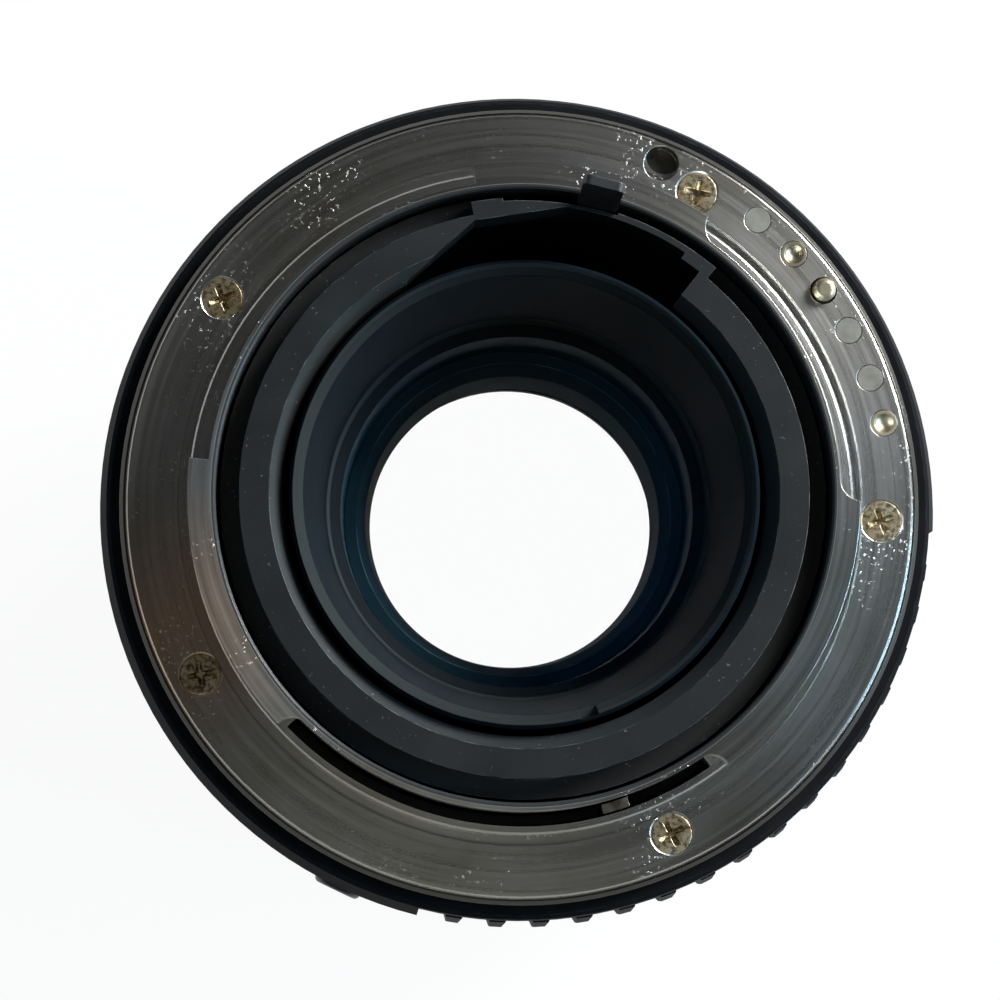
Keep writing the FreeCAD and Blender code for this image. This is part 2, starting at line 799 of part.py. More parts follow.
def contact_block():
    """Moulded block under the flange whose plain bosses come up flush through it."""
    top = plate_back_z
    body = wedge(*contact_block_radii, top - contact_block_depth, top, *contact_block_ends)
    bosses = [
        post(contact_radius, contact_circle_radius, angle, top - OVER, flange_z - contact_sink)
        for angle in contact_angles_plain
    ]
    body = joined(body, bosses)
    for angle in contact_angles_metal:
        body = body.cut(post(
            contact_radius, contact_circle_radius, angle, top - contact_stud_foot, top + OVER
        ))
    return body.cut(post(
        auto_pin_radius + thread_clearance, contact_circle_radius, auto_pin_angle,
        top - contact_block_depth - OVER, top + OVER
    ))


def contact_studs():
    """Metal contacts with a dimple in the middle."""
    studs = []
    for angle in contact_angles_metal:
        foot = plate_back_z - contact_stud_foot
        stud = post(contact_radius, contact_circle_radius, angle, foot, flange_z)
        middle = polar(contact_circle_radius, angle, flange_z + contact_dimple_lift)
        dimple = Part.makeSphere(contact_dimple_radius, middle)
        studs.append(stud.cut(dimple))
    return Part.makeCompound(studs)


def auto_pin_collar_top():
    return plate_back_z - contact_block_depth - seat_gap


def auto_pin_pocket_z():
    return auto_pin_collar_top() - auto_pin_collar_height - auto_pin_spring_length


def auto_pin():
    """Sprung pin that shows the camera that the ring stands at its automatic setting."""
    top = flange_z + auto_pin_stand
    collar = auto_pin_collar_top()
    pin = post(auto_pin_radius, contact_circle_radius, auto_pin_angle, collar - seat_gap, top)
    pin = pin.makeFillet(auto_pin_round, [edge for edge in pin.Edges if edge.BoundBox.ZMin > top - TINY])
    return pin.fuse(post(
        auto_pin_collar_radius, contact_circle_radius, auto_pin_angle,
        collar - auto_pin_collar_height, collar
    )).removeSplitter()


def auto_pin_spring():
    low = auto_pin_pocket_z()
    foot = polar(contact_circle_radius, auto_pin_angle, low)
    return coil(
        spring_wire, auto_pin_spring_mean, auto_pin_spring_turns, foot, AXIS, auto_pin_spring_length
    )


def stop_ring_z():
    return shelf_top_z + seat_gap


def stop_down_ring():
    """Ring on the rear housing's collar that carries the lever and the iris rod."""
    low = stop_ring_z()
    high = low + stop_ring_thickness
    body = sleeve(collar_radius + thread_clearance, stop_ring_outer, low, high)
    lever_foot = block(*lever_radii, lever_width, low - OVER, high + OVER, lever_angle)
    rod_hole = post(rod_radius, rod_circle_radius, rod_angle, low - OVER, high + OVER)
    return body.cut(lever_foot).cut(rod_hole)


def stop_down_lever():
    """Upright tab that the camera pushes round, with rounded top corners."""
    top = flange_z + lever_height
    tab = block(*lever_radii, lever_width, stop_ring_z(), top, 0)
    corners = [
        edge for edge in tab.Edges if edge.BoundBox.ZMin > top - TINY and edge.BoundBox.YLength < TINY
    ]
    return tab.makeFillet(lever_round, corners).rotate(ORIGIN, AXIS, lever_angle)


def iris_rod():
    """Long rod that hands the lever's turn to the fork of the iris cam ring at every focus distance."""
    return post(rod_radius, rod_circle_radius, rod_angle, rod_bottom_z, stop_ring_z() + stop_ring_thickness)


def coupling_arm_heights():
    return coupling_arm_z, coupling_arm_z + coupling_ring_height - 2 * coupling_ring_gap


def aperture_coupling_ring():
    """Inner ring of the aperture ring, with the tab that the camera reads through the arc slot."""
    low = coupling_ring_z
    body = sleeve(*coupling_ring_radii, low, low + coupling_ring_height)
    half = math.degrees(coupling_tab_width / 2 / coupling_ring_radii[1])
    tab = wedge(
        *coupling_ring_radii, low, flange_z + coupling_tab_stand,
        coupling_tab_angle - half, coupling_tab_angle + half
    )
    arm_low, arm_high = coupling_arm_heights()
    arm = block(
        coupling_ring_radii[0] + coupling_ring_play, aperture_bore_radius + coupling_arm_reach,
        coupling_arm_width, arm_low, arm_high, coupling_tab_angle
    )
    return joined(body, [tab, arm])


def aperture_ring():
    """Aperture ring: ribs for the fingers, a smooth land for the numbers and a chamfered rear rim."""
    low, high = aperture_start_z, aperture_end_z
    shoulder = high - aperture_slope_length
    root = aperture_valley_radius - aperture_rib_root
    body = turned([
        (aperture_bore_radius, low),
        (aperture_valley_radius - aperture_front_chamfer, low),
        (aperture_valley_radius, low + aperture_front_chamfer),
        (aperture_valley_radius, high - aperture_rim_height),
        (aperture_rim_radius, high - small_chamfer),
        (aperture_rim_radius - small_chamfer, high),
        (aperture_bore_radius, high),
    ])
    land = turned([
        (root, low),
        (aperture_rib_radius - aperture_front_chamfer, low),
        (aperture_rib_radius, low + aperture_front_chamfer),
        (aperture_rib_radius, shoulder),
        (aperture_rim_radius, high - small_chamfer),
        (root, high - small_chamfer),
    ])
    reach = aperture_rib_radius + OVER
    land = land.common(wedge(aperture_bore_radius, reach, low - OVER, high + OVER, *aperture_land))
    pitch = 360 / aperture_rib_count
    first, last = aperture_land
    count = int((360 - (last - first) - 2 * aperture_rib_start) / pitch) + 1
    ribs = [
        aperture_rib(low, high).rotate(ORIGIN, AXIS, last + aperture_rib_start + pitch * index)
        for index in range(count)
    ]
    body = joined(body, [land] + ribs)
    arm_low, arm_high = coupling_arm_heights()
    cuts = [
        sleeve(
            aperture_bore_radius - OVER, click_track_radius,
            click_z - click_track_width / 2, click_z + click_track_width / 2
        ),
        block(
            aperture_bore_radius - OVER, aperture_bore_radius + coupling_arm_reach + seat_gap,
            coupling_arm_width + 2 * seat_gap, arm_low - seat_gap, arm_high + seat_gap, coupling_tab_angle
        ),
        radial_bar(
            lock_button_radius + bearing_clearance, lock_button_floor_radius(), reach,
            lock_button_angle, lock_button_z
        ),
    ]
    for index in range(click_stops):
        angle = click_angle + aperture_throw * index / (click_stops - 1)
        cuts.append(post(
            click_notch_radius, click_track_radius, angle,
            click_z - click_notch_height / 2, click_z + click_notch_height / 2
        ))
    for cut in cuts:
        body = body.cut(cut)
    return body


def aperture_rib(low, high):
    """One finger rib at angle 0, narrower at its crest, its rear end sloping down to the rim."""
    root = aperture_valley_radius - aperture_rib_root
    start = low + aperture_front_chamfer
    end = high - aperture_rim_height - aperture_front_chamfer
    side = [
        V(root, 0, start),
        V(aperture_valley_radius, 0, start),
        V(aperture_rib_radius, 0, start + aperture_rib_height),
        V(aperture_rib_radius, 0, high - aperture_rib_slope_length),
        V(aperture_valley_radius + aperture_rib_end, 0, end),
        V(root, 0, end),
    ]
    slab = Part.Face(Part.makePolygon(side + side[:1])).extrude(V(0, aperture_rib_width, 0))
    slab.translate(V(0, -aperture_rib_width / 2, 0))
    foot, crest = aperture_rib_width / 2, aperture_rib_crest / 2
    rise = aperture_rib_radius + seat_gap
    cross = [V(root, -foot, low), V(rise, -crest, low), V(rise, crest, low), V(root, foot, low)]
    prism_up = Part.Face(Part.makePolygon(cross + cross[:1])).extrude(V(0, 0, high - low))
    return slab.common(prism_up)


def lock_button_floor_radius():
    return aperture_bore_radius + lock_button_floor


def lock_spring_rise():
    return lock_button_travel + bearing_clearance


def lock_button():
    """Round button on the aperture ring, pressed to leave the automatic setting."""
    bottom = lock_button_floor_radius() + lock_spring_rise()
    button = radial_bar(lock_button_radius, bottom, lock_button_top, 0, lock_button_z)
    rim = [edge for edge in button.Edges if edge.BoundBox.XMin > lock_button_top - TINY]
    return button.makeFillet(lock_button_round, rim).rotate(ORIGIN, AXIS, lock_button_angle)


def lock_button_spring():
    """Domed spring washer under the button."""
    foot = polar(lock_button_floor_radius(), lock_button_angle, lock_button_z)
    outward = polar(1, lock_button_angle)
    inner = lock_spring_radius - lock_spring_wall
    cones = [
        Part.makeCone(wide, wide - lock_spring_slope, lock_spring_rise(), foot, outward)
        for wide in (lock_spring_radius, inner)
    ]
    return cones[0].cut(cones[1])


def click_ball():
    centre = click_track_radius - bearing_clearance - click_ball_radius
    return Part.makeSphere(click_ball_radius, polar(centre, click_angle, click_z))


def click_spring():
    inner = housing_radius - click_pocket_depth
    outer = click_track_radius - bearing_clearance - 2 * click_ball_radius
    foot = polar(inner, click_angle, click_z)
    outward = polar(1, click_angle)
    return coil(spring_wire, click_spring_mean, click_spring_turns, foot, outward, outer - inner)


def main_barrel():
    """Fixed barrel: the tube that the helicoid turns in, the shoulder and the inner flange."""
    inner, tube = barrel_tube_radii
    keeper_low = helicoid_end_z + keeper_gap
    flange_top = housing_bottom_z
    body = turned([
        (inner, barrel_tube_start_z),
        (tube, barrel_tube_start_z),
        (tube, barrel_shoulder_z),
        (barrel_shoulder_radius - small_chamfer, barrel_shoulder_z),
        (barrel_shoulder_radius, barrel_shoulder_z + small_chamfer),
        (barrel_shoulder_radius, scale_start_z - shoulder_rear_chamfer),
        (barrel_shoulder_radius - shoulder_rear_chamfer, scale_start_z),
        (tube, scale_start_z),
        (tube, flange_top),
        (barrel_flange_bore, flange_top),
        (barrel_flange_bore, barrel_flange_z),
        (keeper_bore_in_barrel, barrel_flange_z),
        (keeper_bore_in_barrel, keeper_low),
        (inner, keeper_low),
    ])
    for angle in housing_screw_angles:
        body = body.cut(post(
            screw_shank_radius + bearing_clearance, housing_screw_circle, angle, barrel_flange_z - OVER,
            flange_top + OVER
        ))
    return body


def depth_scale_ring():
    """Sleeve behind the shoulder that carries the index line and the depth scale."""
    body = turned([
        (scale_ring_bore, scale_start_z),
        (scale_ring_radius - scale_ring_chamfer, scale_start_z),
        (scale_ring_radius, scale_start_z + scale_ring_chamfer),
        (scale_ring_radius, scale_end_z - small_chamfer),
        (scale_ring_radius - small_chamfer, scale_end_z),
        (scale_ring_bore, scale_end_z),
    ])
    for angle in scale_screw_angles:
        body = body.cut(radial_bar(
            small_screw_radius + seat_gap, scale_ring_bore - OVER, scale_ring_radius + OVER,
            angle, scale_start_z + scale_screw_inset
        ))
    return body


def scale_ring_screws():
    return Part.makeCompound([
        radial_bar(
            small_screw_radius, barrel_tube_outer, scale_ring_radius - scale_screw_sink,
            angle, scale_start_z + scale_screw_inset
        )
        for angle in scale_screw_angles
    ])


def alignment_bead():
    """Half-round bead that the thumb finds when the lens is put on the camera."""
    centre = polar(scale_ring_radius - bead_sink, bead_angle, (scale_start_z + scale_end_z) / 2)
    ball = Part.makeSphere(bead_radius, centre)
    return ball.cut(sleeve(0, scale_ring_radius, scale_start_z, scale_end_z))


def guide_keys():
    """Keys on the main barrel that keep the optics from turning while the helicoid moves them."""
    return Part.makeCompound([
        block(*key_radii, key_width, key_bottom_z, barrel_flange_z, angle) for angle in key_angles
    ])


def focus_helicoid():
    """Threaded sleeve inside the focus ring."""
    top = focus_start_z + helicoid_flange_height
    return turned([
        (helicoid_bore_radius, focus_start_z),
        (helicoid_flange_radius, focus_start_z),
        (helicoid_flange_radius, top),
        (helicoid_radius, top),
        (helicoid_radius, helicoid_end_z),
        (helicoid_bore_radius, helicoid_end_z),
    ])


def helicoid_keeper():
    """Ring screwed to the helicoid's rear end, behind a ledge of the main barrel."""
    low = helicoid_end_z
    ledge = low + keeper_collar
    body = sleeve(helicoid_bore_radius, keeper_radius, ledge, low + keeper_height)
    return body.fuse(sleeve(helicoid_bore_radius, helicoid_radius, low, ledge)).removeSplitter()


def focus_ring():
    """Metal ring that the fingers turn, with lands before and behind the rubber grip."""
    body = turned([
        (focus_bore_radius, focus_start_z),
        (focus_land_radius - focus_chamfer, focus_start_z),
        (focus_land_radius, focus_start_z + focus_chamfer),
        (focus_land_radius, grip_start_z - grip_seat),
        (focus_wall_radius, grip_start_z - grip_seat),
        (focus_wall_radius, grip_end_z + grip_seat),
        (focus_land_radius, grip_end_z + grip_seat),
        (focus_land_radius, focus_end_z - focus_chamfer),
        (focus_land_radius - focus_chamfer, focus_end_z),
        (focus_bore_radius, focus_end_z),
    ])
    for angle in focus_screw_angles:
        body = body.cut(radial_bar(
            small_screw_radius + seat_gap, focus_bore_radius - OVER, focus_land_radius + OVER,
            angle, focus_screw_z()
        ))
    return body


def focus_screw_z():
    return (focus_start_z + grip_start_z) / 2


def focus_screws():
    return Part.makeCompound([
        radial_bar(
            small_screw_radius, helicoid_flange_radius, focus_land_radius - focus_screw_sink,
            angle, focus_screw_z()
        )
        for angle in focus_screw_angles
    ])


def focus_grip():
    """Rubber sleeve with flutes, parted into bands by smooth grooves."""
    body = turned([
        (focus_wall_radius, grip_start_z),
        (grip_radius - small_chamfer, grip_start_z),
        (grip_radius, grip_start_z + small_chamfer),
        (grip_radius, grip_end_z - small_chamfer),
        (grip_radius - small_chamfer, grip_end_z),
        (focus_wall_radius, grip_end_z),
    ])
    floor = grip_radius - grip_flute_depth
    pitch = 360 / grip_flute_count
    low, high = grip_start_z + grip_flute_margin, grip_end_z - grip_flute_margin
    flutes = [
        block(floor, grip_radius + OVER, grip_flute_width, low, high, pitch * index)
        for index in range(grip_flute_count)
    ]
    body = body.cut(Part.makeCompound(flutes))
    band = (grip_end_z - grip_start_z) / grip_bands
    for number in range(1, grip_bands):
        middle = grip_start_z + number * band
        half = grip_band_width / 2
        body = body.cut(sleeve(floor, grip_radius + OVER, middle - half, middle + half))
    return body


def front_barrel():
    """Front barrel with the filter bore, the front glass's seat and the threaded skirt."""
    low, high = front_glass_z
    seat = front_glass_radius + glass_gap
    ring_bore = front_glass_radius + name_ring_reach + seat_gap
    body = turned([
        (filter_bore_radius, 0),
        (front_radius - front_edge, 0),
        (front_radius, front_edge),
        (front_radius, front_section_length - front_edge),
        (front_radius - front_edge, front_section_length),
        (skirt_radius, front_section_length),
        (skirt_radius, skirt_end_z),
        (skirt_bore_radius, skirt_end_z),
        (skirt_bore_radius, cell_start_z),
        (front_ledge_radius, cell_start_z),
        (front_ledge_radius, high),
        (seat, high),
        (seat, low),
        (ring_bore, low),
        (ring_bore, filter_bore_depth),
        (filter_bore_radius, filter_bore_depth),
    ])
    for angle in key_angles:
        body = body.cut(block(
            skirt_bore_radius - OVER, skirt_radius + OVER, key_width + 2 * key_play,
            key_bottom_z - key_end_gap, skirt_end_z + OVER, angle
        ))
    return body


def front_name_ring():
    """Bare ring that holds the front glass, stepped like a light baffle."""
    low = front_glass_z[0]
    outer = front_glass_radius + name_ring_reach
    return turned([
        (outer, name_ring_front_z),
        (outer, low),
        (name_ring_bore, low),
        (name_ring_bore, low - name_ring_edge),
        (outer - name_ring_front_width, name_ring_front_z),
    ])


def lens_cell():
    """Inner tube that holds the second and third glass."""
    low2, high2 = second_glass_z
    low3, high3 = third_glass_z
    seat2 = second_glass_radius + glass_gap
    seat3 = third_glass_radius + glass_gap
    return turned([
        (seat2, cell_start_z),
        (cell_radius, cell_start_z),
        (cell_radius, cell_end_z),
        (seat3, cell_end_z),
        (seat3, low3),
        (third_ledge_radius, low3),
        (third_ledge_radius, low3 - ledge_thickness),
        (second_ledge_radius, high2 + ledge_thickness),
        (second_ledge_radius, high2),
        (seat2, high2),
    ])


def second_retaining_ring():
    low = second_glass_z[0]
    return sleeve(second_ledge_radius, second_glass_radius, low - second_ring_height, low)


def third_ring_bore():
    return third_ledge_radius - third_ring_width


def third_retaining_ring():
    high = third_glass_z[1]
    return sleeve(third_ring_bore(), third_glass_radius, high, high + third_ring_height)


def front_element():
    return glass(front_glass_radius, front_ledge_radius - glass_gap, front_glass_z, front_glass_sag)


def second_element():
    return glass(second_glass_radius, second_ledge_radius - glass_gap, second_glass_z, second_glass_sag)


def third_element():
    return glass(third_glass_radius, third_ring_bore() - glass_gap, third_glass_z, third_glass_sag)


def rear_element():
    return glass(rear_glass_radius, rear_ledge_radius - glass_gap, rear_glass_z, rear_glass_sag)


def iris_housing():
    """Floor and wall of the iris, with a pivot hole for each blade."""
    floor_top = cell_end_z + iris_plate_thickness
    body = turned([
        (iris_open_radius, cell_end_z),
        (cell_radius, cell_end_z),
        (cell_radius, iris_wall_end_z),
        (iris_wall_bore, iris_wall_end_z),
        (iris_wall_bore, floor_top),
        (iris_open_radius, floor_top),
    ])
    holes = [
        post(
            blade_pin_radius + seat_gap, blade_pivot_radius, angle,
            cell_end_z + blade_pin_sink, floor_top + OVER
        )
        for angle in blade_angles()
    ]
    holes += [
        post(
            small_screw_radius + seat_gap, tube_screw_circle, angle,
            iris_wall_end_z - tube_screw_grip - screw_hole_spare, iris_wall_end_z + OVER
        )
        for angle in tube_screw_angles
    ]
    return body.cut(Part.makeCompound(holes))


def blade_angles():
    return [360 / blade_count * index for index in range(blade_count)]


def drive_pin_place(turn):
    """Where a blade's drive pin stands when the blade has turned by this many degrees from open."""
    pivot = polar(blade_pivot_radius, 0)
    start = polar(blade_pivot_radius, blade_pin_angle)
    arm = FreeCAD.Rotation(AXIS, turn).multVec(start - pivot)
    return pivot + arm


def iris_blade(index):
    """Thin curved leaf with a pivot pin on one face and a drive pin on the other."""
    low = blade_low_z + blade_pitch_z * index
    high = low + blade_thickness
    first, last = blade_head_angles
    leaf = wedge(blade_inner_radius, blade_outer_radius, low, high, first, blade_tip_angle)
    head = wedge(blade_outer_radius - blade_head_overlap, blade_head_radius, low, high, first, last)
    middle = low + blade_thickness / 2
    foot = cell_end_z + blade_pin_sink + bearing_clearance
    pivot = post(blade_pin_radius, blade_pivot_radius, 0, foot, middle)
    drive = post(
        blade_pin_radius, blade_pivot_radius, blade_pin_angle, middle, cam_ring_z + cam_ring_thickness
    )
    return joined(leaf, [head, pivot, drive]).rotate(ORIGIN, AXIS, blade_angles()[index])


def cam_slot(angle):
    """Slot that turns a blade while the cam ring turns: an arc through three places of the blade's pin."""
    places = []
    for share in (0, 0.5, 1):
        pin = drive_pin_place(blade_throw * share)
        places.append(FreeCAD.Rotation(AXIS, -lever_throw * share).multVec(pin))
    circle = Part.Arc(*places).toShape().Curve
    width = blade_pin_radius + bearing_clearance
    low, high = cam_ring_z - OVER, cam_ring_z + cam_ring_thickness + OVER
    first = places[0] - circle.Center
    last = places[2] - circle.Center
    start = math.degrees(math.atan2(first.y, first.x))
    sweep = math.degrees(first.getAngle(last))
    if first.cross(last).z < 0:
        sweep = -sweep
    curve = wedge(circle.Radius - width, circle.Radius + width, low, high, start, start + sweep)
    curve.translate(V(circle.Center.x, circle.Center.y, 0))
    ends = [Part.makeCylinder(width, high - low, V(p.x, p.y, low), AXIS) for p in (places[0], places[2])]
    return joined(curve, ends).rotate(ORIGIN, AXIS, angle)


def cam_ring():
    """Ring that drives all blades through its curved slots, with a tall fork for the lever's rod."""
    top = cam_ring_z + cam_ring_thickness
    body = sleeve(cam_ring_bore, iris_wall_bore - bearing_clearance, cam_ring_z, top)
    for angle in blade_angles():
        body = body.cut(cam_slot(angle))
    inner, outer = fork_radii
    near = rod_radius + fork_play
    middle = near + fork_prong_width / 2
    prongs = []
    for side in (-1, 1):
        prong = Part.makeBox(
            outer - inner, fork_prong_width, fork_top_z - cam_ring_z,
            V(inner, side * middle - fork_prong_width / 2, cam_ring_z)
        )
        prongs.append(prong.rotate(ORIGIN, AXIS, rod_angle))
    return joined(body, prongs)


def fork_window(low, high):
    """Arc opening that the fork's prongs turn in."""
    inner, outer = fork_radii
    reach = math.degrees((rod_radius + fork_play + fork_prong_width + passing_gap) / inner)
    first, last = rod_angle - reach, rod_angle + lever_throw + reach
    return wedge(inner - passing_gap, outer + passing_gap, low, high, first, last)


def iris_cover():
    """Thin plate over the cam ring."""
    low, high = iris_wall_end_z, tube_start_z
    body = sleeve(cam_ring_bore, cell_radius, low, high)
    body = body.cut(fork_window(low - OVER, high + OVER))
    for angle in tube_screw_angles:
        body = body.cut(post(
            small_screw_radius + seat_gap, tube_screw_circle, angle, low - OVER, high + OVER
        ))
    return body


def rear_tube():
    """Tapered rear tube of the optics, open to view in the throat, with a foot flange over the iris."""
    low = tube_start_z
    flange_top = tube_flange_top_z
    top = flange_z + rear_tube_top
    lip_width, lip_depth = tube_lip_slope
    lip = rear_tube_radius - tube_lip_chamfer - tube_lip_width
    foot_bore = cam_ring_bore - tube_foot_lip
    glass_low, glass_high = rear_glass_z
    bore = rear_ring_radius + glass_gap
    seat = rear_glass_radius + glass_gap
    step = flange_z - rear_tube_step
    body = turned([
        (foot_bore, low),
        (cell_radius, low),
        (cell_radius, flange_top),
        (rear_tube_radius, flange_top),
        (rear_tube_radius, top - tube_lip_chamfer),
        (rear_tube_radius - tube_lip_chamfer, top),
        (lip, top),
        (lip - lip_width, top - lip_depth),
        (rear_tube_radius - rear_tube_mouth_wall, step + rear_tube_step_height),
        (tube_throat_radius, step),
        (bore, flange_z - rear_ring_depths[2]),
        (bore, glass_high),
        (seat, glass_high),
        (seat, glass_low),
        (rear_ledge_radius, glass_low),
        (rear_ledge_radius, glass_low - ledge_thickness),
        (foot_bore, low + tube_foot_depth),
    ])
    body = body.cut(fork_window(low - OVER, flange_top + OVER))
    body = body.cut(block(
        tube_notch_outer - tube_notch_reach, tube_notch_outer, tube_notch_width,
        top - tube_notch_depth, top + OVER, tube_notch_angle
    ))
    for angle in tube_screw_angles:
        body = body.cut(post(
            small_screw_radius + seat_gap, tube_screw_circle, angle, low - OVER, flange_top + OVER
        ))
    return body


def tube_screws():
    """Screws through the rear tube's foot and the iris cover into the iris wall."""
    low = iris_wall_end_z - tube_screw_grip
    return Part.makeCompound([
        post(small_screw_radius, tube_screw_circle, angle, low, tube_flange_top_z)
        for angle in tube_screw_angles
    ])


def rear_retaining_ring():
    """Conical ring that holds the rear glass."""
    bottom, waist, top = (flange_z - depth for depth in rear_ring_depths)
    return turned([
        (rear_ring_radius, rear_glass_z[1]),
        (rear_ring_radius, top),
        (rear_ring_radius - rear_ring_top_width, top),
        (rear_ring_front_radius + rear_ring_waist_wall, waist),
        (rear_ring_front_radius, bottom),
        (rear_ring_front_radius + rear_ring_undercut, rear_glass_z[1]),
    ])


def write(name, shape):
    shape.exportStep(f"parts/{name}.step")


def main():
    os.makedirs("parts", exist_ok=True)
    pieces = {
        "front_barrel": front_barrel,
        "front_name_ring": front_name_ring,
        "front_element": front_element,
        "lens_cell": lens_cell,
        "second_element": second_element,
        "second_retaining_ring": second_retaining_ring,
        "third_element": third_element,
        "third_retaining_ring": third_retaining_ring,
        "iris_housing": iris_housing,
        "cam_ring": cam_ring,
        "iris_cover": iris_cover,
        "rear_tube": rear_tube,
        "tube_screws": tube_screws,
        "rear_element": rear_element,
        "rear_retaining_ring": rear_retaining_ring,
        "main_barrel": main_barrel,
        "depth_scale_ring": depth_scale_ring,
        "scale_ring_screws": scale_ring_screws,
        "alignment_bead": alignment_bead,
        "guide_keys": guide_keys,
        "rear_housing": rear_housing,
        "housing_screws": housing_screws,
        "mount_plate": mount_plate,
        "mount_screws": mount_screws,
        "rear_baffle": rear_baffle,
        "contact_block": contact_block,
        "contact_studs": contact_studs,
        "auto_pin": auto_pin,
        "auto_pin_spring": auto_pin_spring,
        "stop_down_ring": stop_down_ring,
        "stop_down_lever": stop_down_lever,
        "iris_rod": iris_rod,
        "aperture_ring": aperture_ring,
        "aperture_coupling_ring": aperture_coupling_ring,
        "lock_button": lock_button,
        "lock_button_spring": lock_button_spring,
        "click_ball": click_ball,
        "click_spring": click_spring,
        "focus_helicoid": focus_helicoid,
        "helicoid_keeper": helicoid_keeper,
        "focus_ring": focus_ring,
        "focus_grip": focus_grip,
        "focus_screws": focus_screws,
    }
    for name, make in pieces.items():
        write(name, make())
    for index in range(blade_count):
        write(f"iris_blade_{index + 1}", iris_blade(index))


main()
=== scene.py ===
"""Looks of a telephoto prime lens that stands on its front rim, seen from above its bayonet.

Sizes are in millimetres and are turned into metres by mm(). The optical axis is Z, angles are in
degrees from +X towards +Y, and heights count from the front rim, as in the model that is loaded.
"""

import json
import math

import bmesh
import bpy
from mathutils import Matrix, Vector


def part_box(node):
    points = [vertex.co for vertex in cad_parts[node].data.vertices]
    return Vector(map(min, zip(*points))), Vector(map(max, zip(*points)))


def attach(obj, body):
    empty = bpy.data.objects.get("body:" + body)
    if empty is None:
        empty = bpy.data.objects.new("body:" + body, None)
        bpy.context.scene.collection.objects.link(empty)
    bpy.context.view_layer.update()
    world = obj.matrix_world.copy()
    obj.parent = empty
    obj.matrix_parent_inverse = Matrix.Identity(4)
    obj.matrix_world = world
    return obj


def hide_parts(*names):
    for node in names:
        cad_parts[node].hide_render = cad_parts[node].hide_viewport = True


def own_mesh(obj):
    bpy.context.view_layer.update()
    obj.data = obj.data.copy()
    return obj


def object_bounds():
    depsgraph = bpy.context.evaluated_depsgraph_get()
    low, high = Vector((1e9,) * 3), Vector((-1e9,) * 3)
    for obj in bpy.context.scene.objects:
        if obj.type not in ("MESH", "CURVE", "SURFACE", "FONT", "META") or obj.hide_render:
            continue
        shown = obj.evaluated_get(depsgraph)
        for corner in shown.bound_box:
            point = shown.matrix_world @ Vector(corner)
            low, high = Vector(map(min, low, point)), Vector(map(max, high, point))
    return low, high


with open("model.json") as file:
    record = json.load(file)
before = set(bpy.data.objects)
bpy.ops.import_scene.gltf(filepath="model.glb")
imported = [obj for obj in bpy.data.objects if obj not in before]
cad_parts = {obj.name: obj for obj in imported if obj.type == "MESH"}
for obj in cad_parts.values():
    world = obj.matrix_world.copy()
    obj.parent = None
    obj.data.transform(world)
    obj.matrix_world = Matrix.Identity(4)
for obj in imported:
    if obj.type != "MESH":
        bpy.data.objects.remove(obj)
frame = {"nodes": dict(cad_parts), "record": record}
cad_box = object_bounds()

# Camera, measured from the circles in the photograph
image_size = 1000
focal_pixels = 3430.7
sensor_width = 36.0
flange_distance = 250.0
flange_pixel = (521.3, 501.5)
axis_in_camera = (0.0418, 0.1096, 1.0)

# Mount screws
screw_circle = 26.43
screw_angles = [145.8, 60.5, 357.2, 294.3, 208.6]
screw_cross_turns = [22.0, 78.0, 20.0, 28.0, 12.0]
screw_head_radius = 1.55
screw_shank_radius = 0.8
screw_head_depth = 0.75
screw_length = 5.5
screw_edge_height = -0.12
screw_crown_height = -0.02
screw_crown_inset = 0.12
screw_sink = 0.05

# Reach, half width and height of a screw's cross recess, heights counted from the top of the head
cross_rim = (0.98, 0.21, screw_crown_height)
cross_waist = (0.9, 0.16, -0.14)
cross_floor = (0.34, 0.1, -0.62)

# Iris blades; sweeps are angles round the axis, counted from the blade's pivot
blade_count = 8
first_blade_height = 45.3
blade_pitch = 0.27
blade_thickness = 0.12
blade_slack = 0.01
blade_shoulder_inner = 18.4
blade_shoulder_outer = 20.6
blade_shoulder_sweep = (19.0, 41.5)
blade_tip_outer = 22.6
blade_tip_sweep = (63.0, 86.0)

# Where the finishes, and the painted light and shade, change
lock_hole_circle = 28.0
lock_hole_angle = 67.6
lock_hole_radius = 1.3
lock_hole_lip = 0.15
# Place and size of a painted warm reflection on the plate
warm_reflection_circle = 27.0
warm_reflection_angle = 200.0
warm_reflection_core = 1.0
warm_reflection_width = 9.0
throat_radius = 22.3
plate_edge_radius = 28.8
baffle_lip_radius = 18.15
coupling_tip_height = 79.0
tube_ledge_height = 73.1
tube_step_height = 74.2
tube_wall_height = 75.6
tube_lip_height = 85.2
tube_lip_radius = 16.5
tube_lip_bore = 16.2

# Painted marks; rows count down from a ring's top or up from its bottom
paint_height = 0.03
index_angle = 172.0
aperture_throw = 60.0
aperture_marks = ["2.8", "4", "5.6", "8", "11", "16", "22", "32"]
aperture_figure_size = 2.3
aperture_figure_row = 2.9
aperture_tick_width = 0.25
aperture_tick = (0.55, 1.45)
focal_length = 135.0
focus_travel = 13.4
focus_throw = 200.0
metre_marks = [20, 10, 7, 5, 4, 3, 2.5, 2, 1.8, 1.6, 1.5]
feet_marks = [60, 30, 20, 15, 12, 10, 8, 7, 6, 5.5, 5]
metres_per_foot = 0.3048
distance_figure_size = 2.1
metre_row = 2.0
feet_row = 5.2
infinity_reach = 1.5
infinity_stretch = 1.3
infinity_half_stroke = 0.16

# Aperture numbers of the depth scale and how far their lines stand from the index, in degrees
depth_pairs = ((8, 2.5), (16, 5.0), (22, 7.2), (32, 10.0))
depth_figure_size = 1.7
depth_figure_gap = 1.3
depth_line_width = 0.2
depth_line_foot = 0.6
depth_line_knee = 1.2
depth_line_reach = 3.4
depth_line_lean = 0.35
depth_pair_gap = 2.0
index_line_width = 0.35
index_line_reach = 7.0

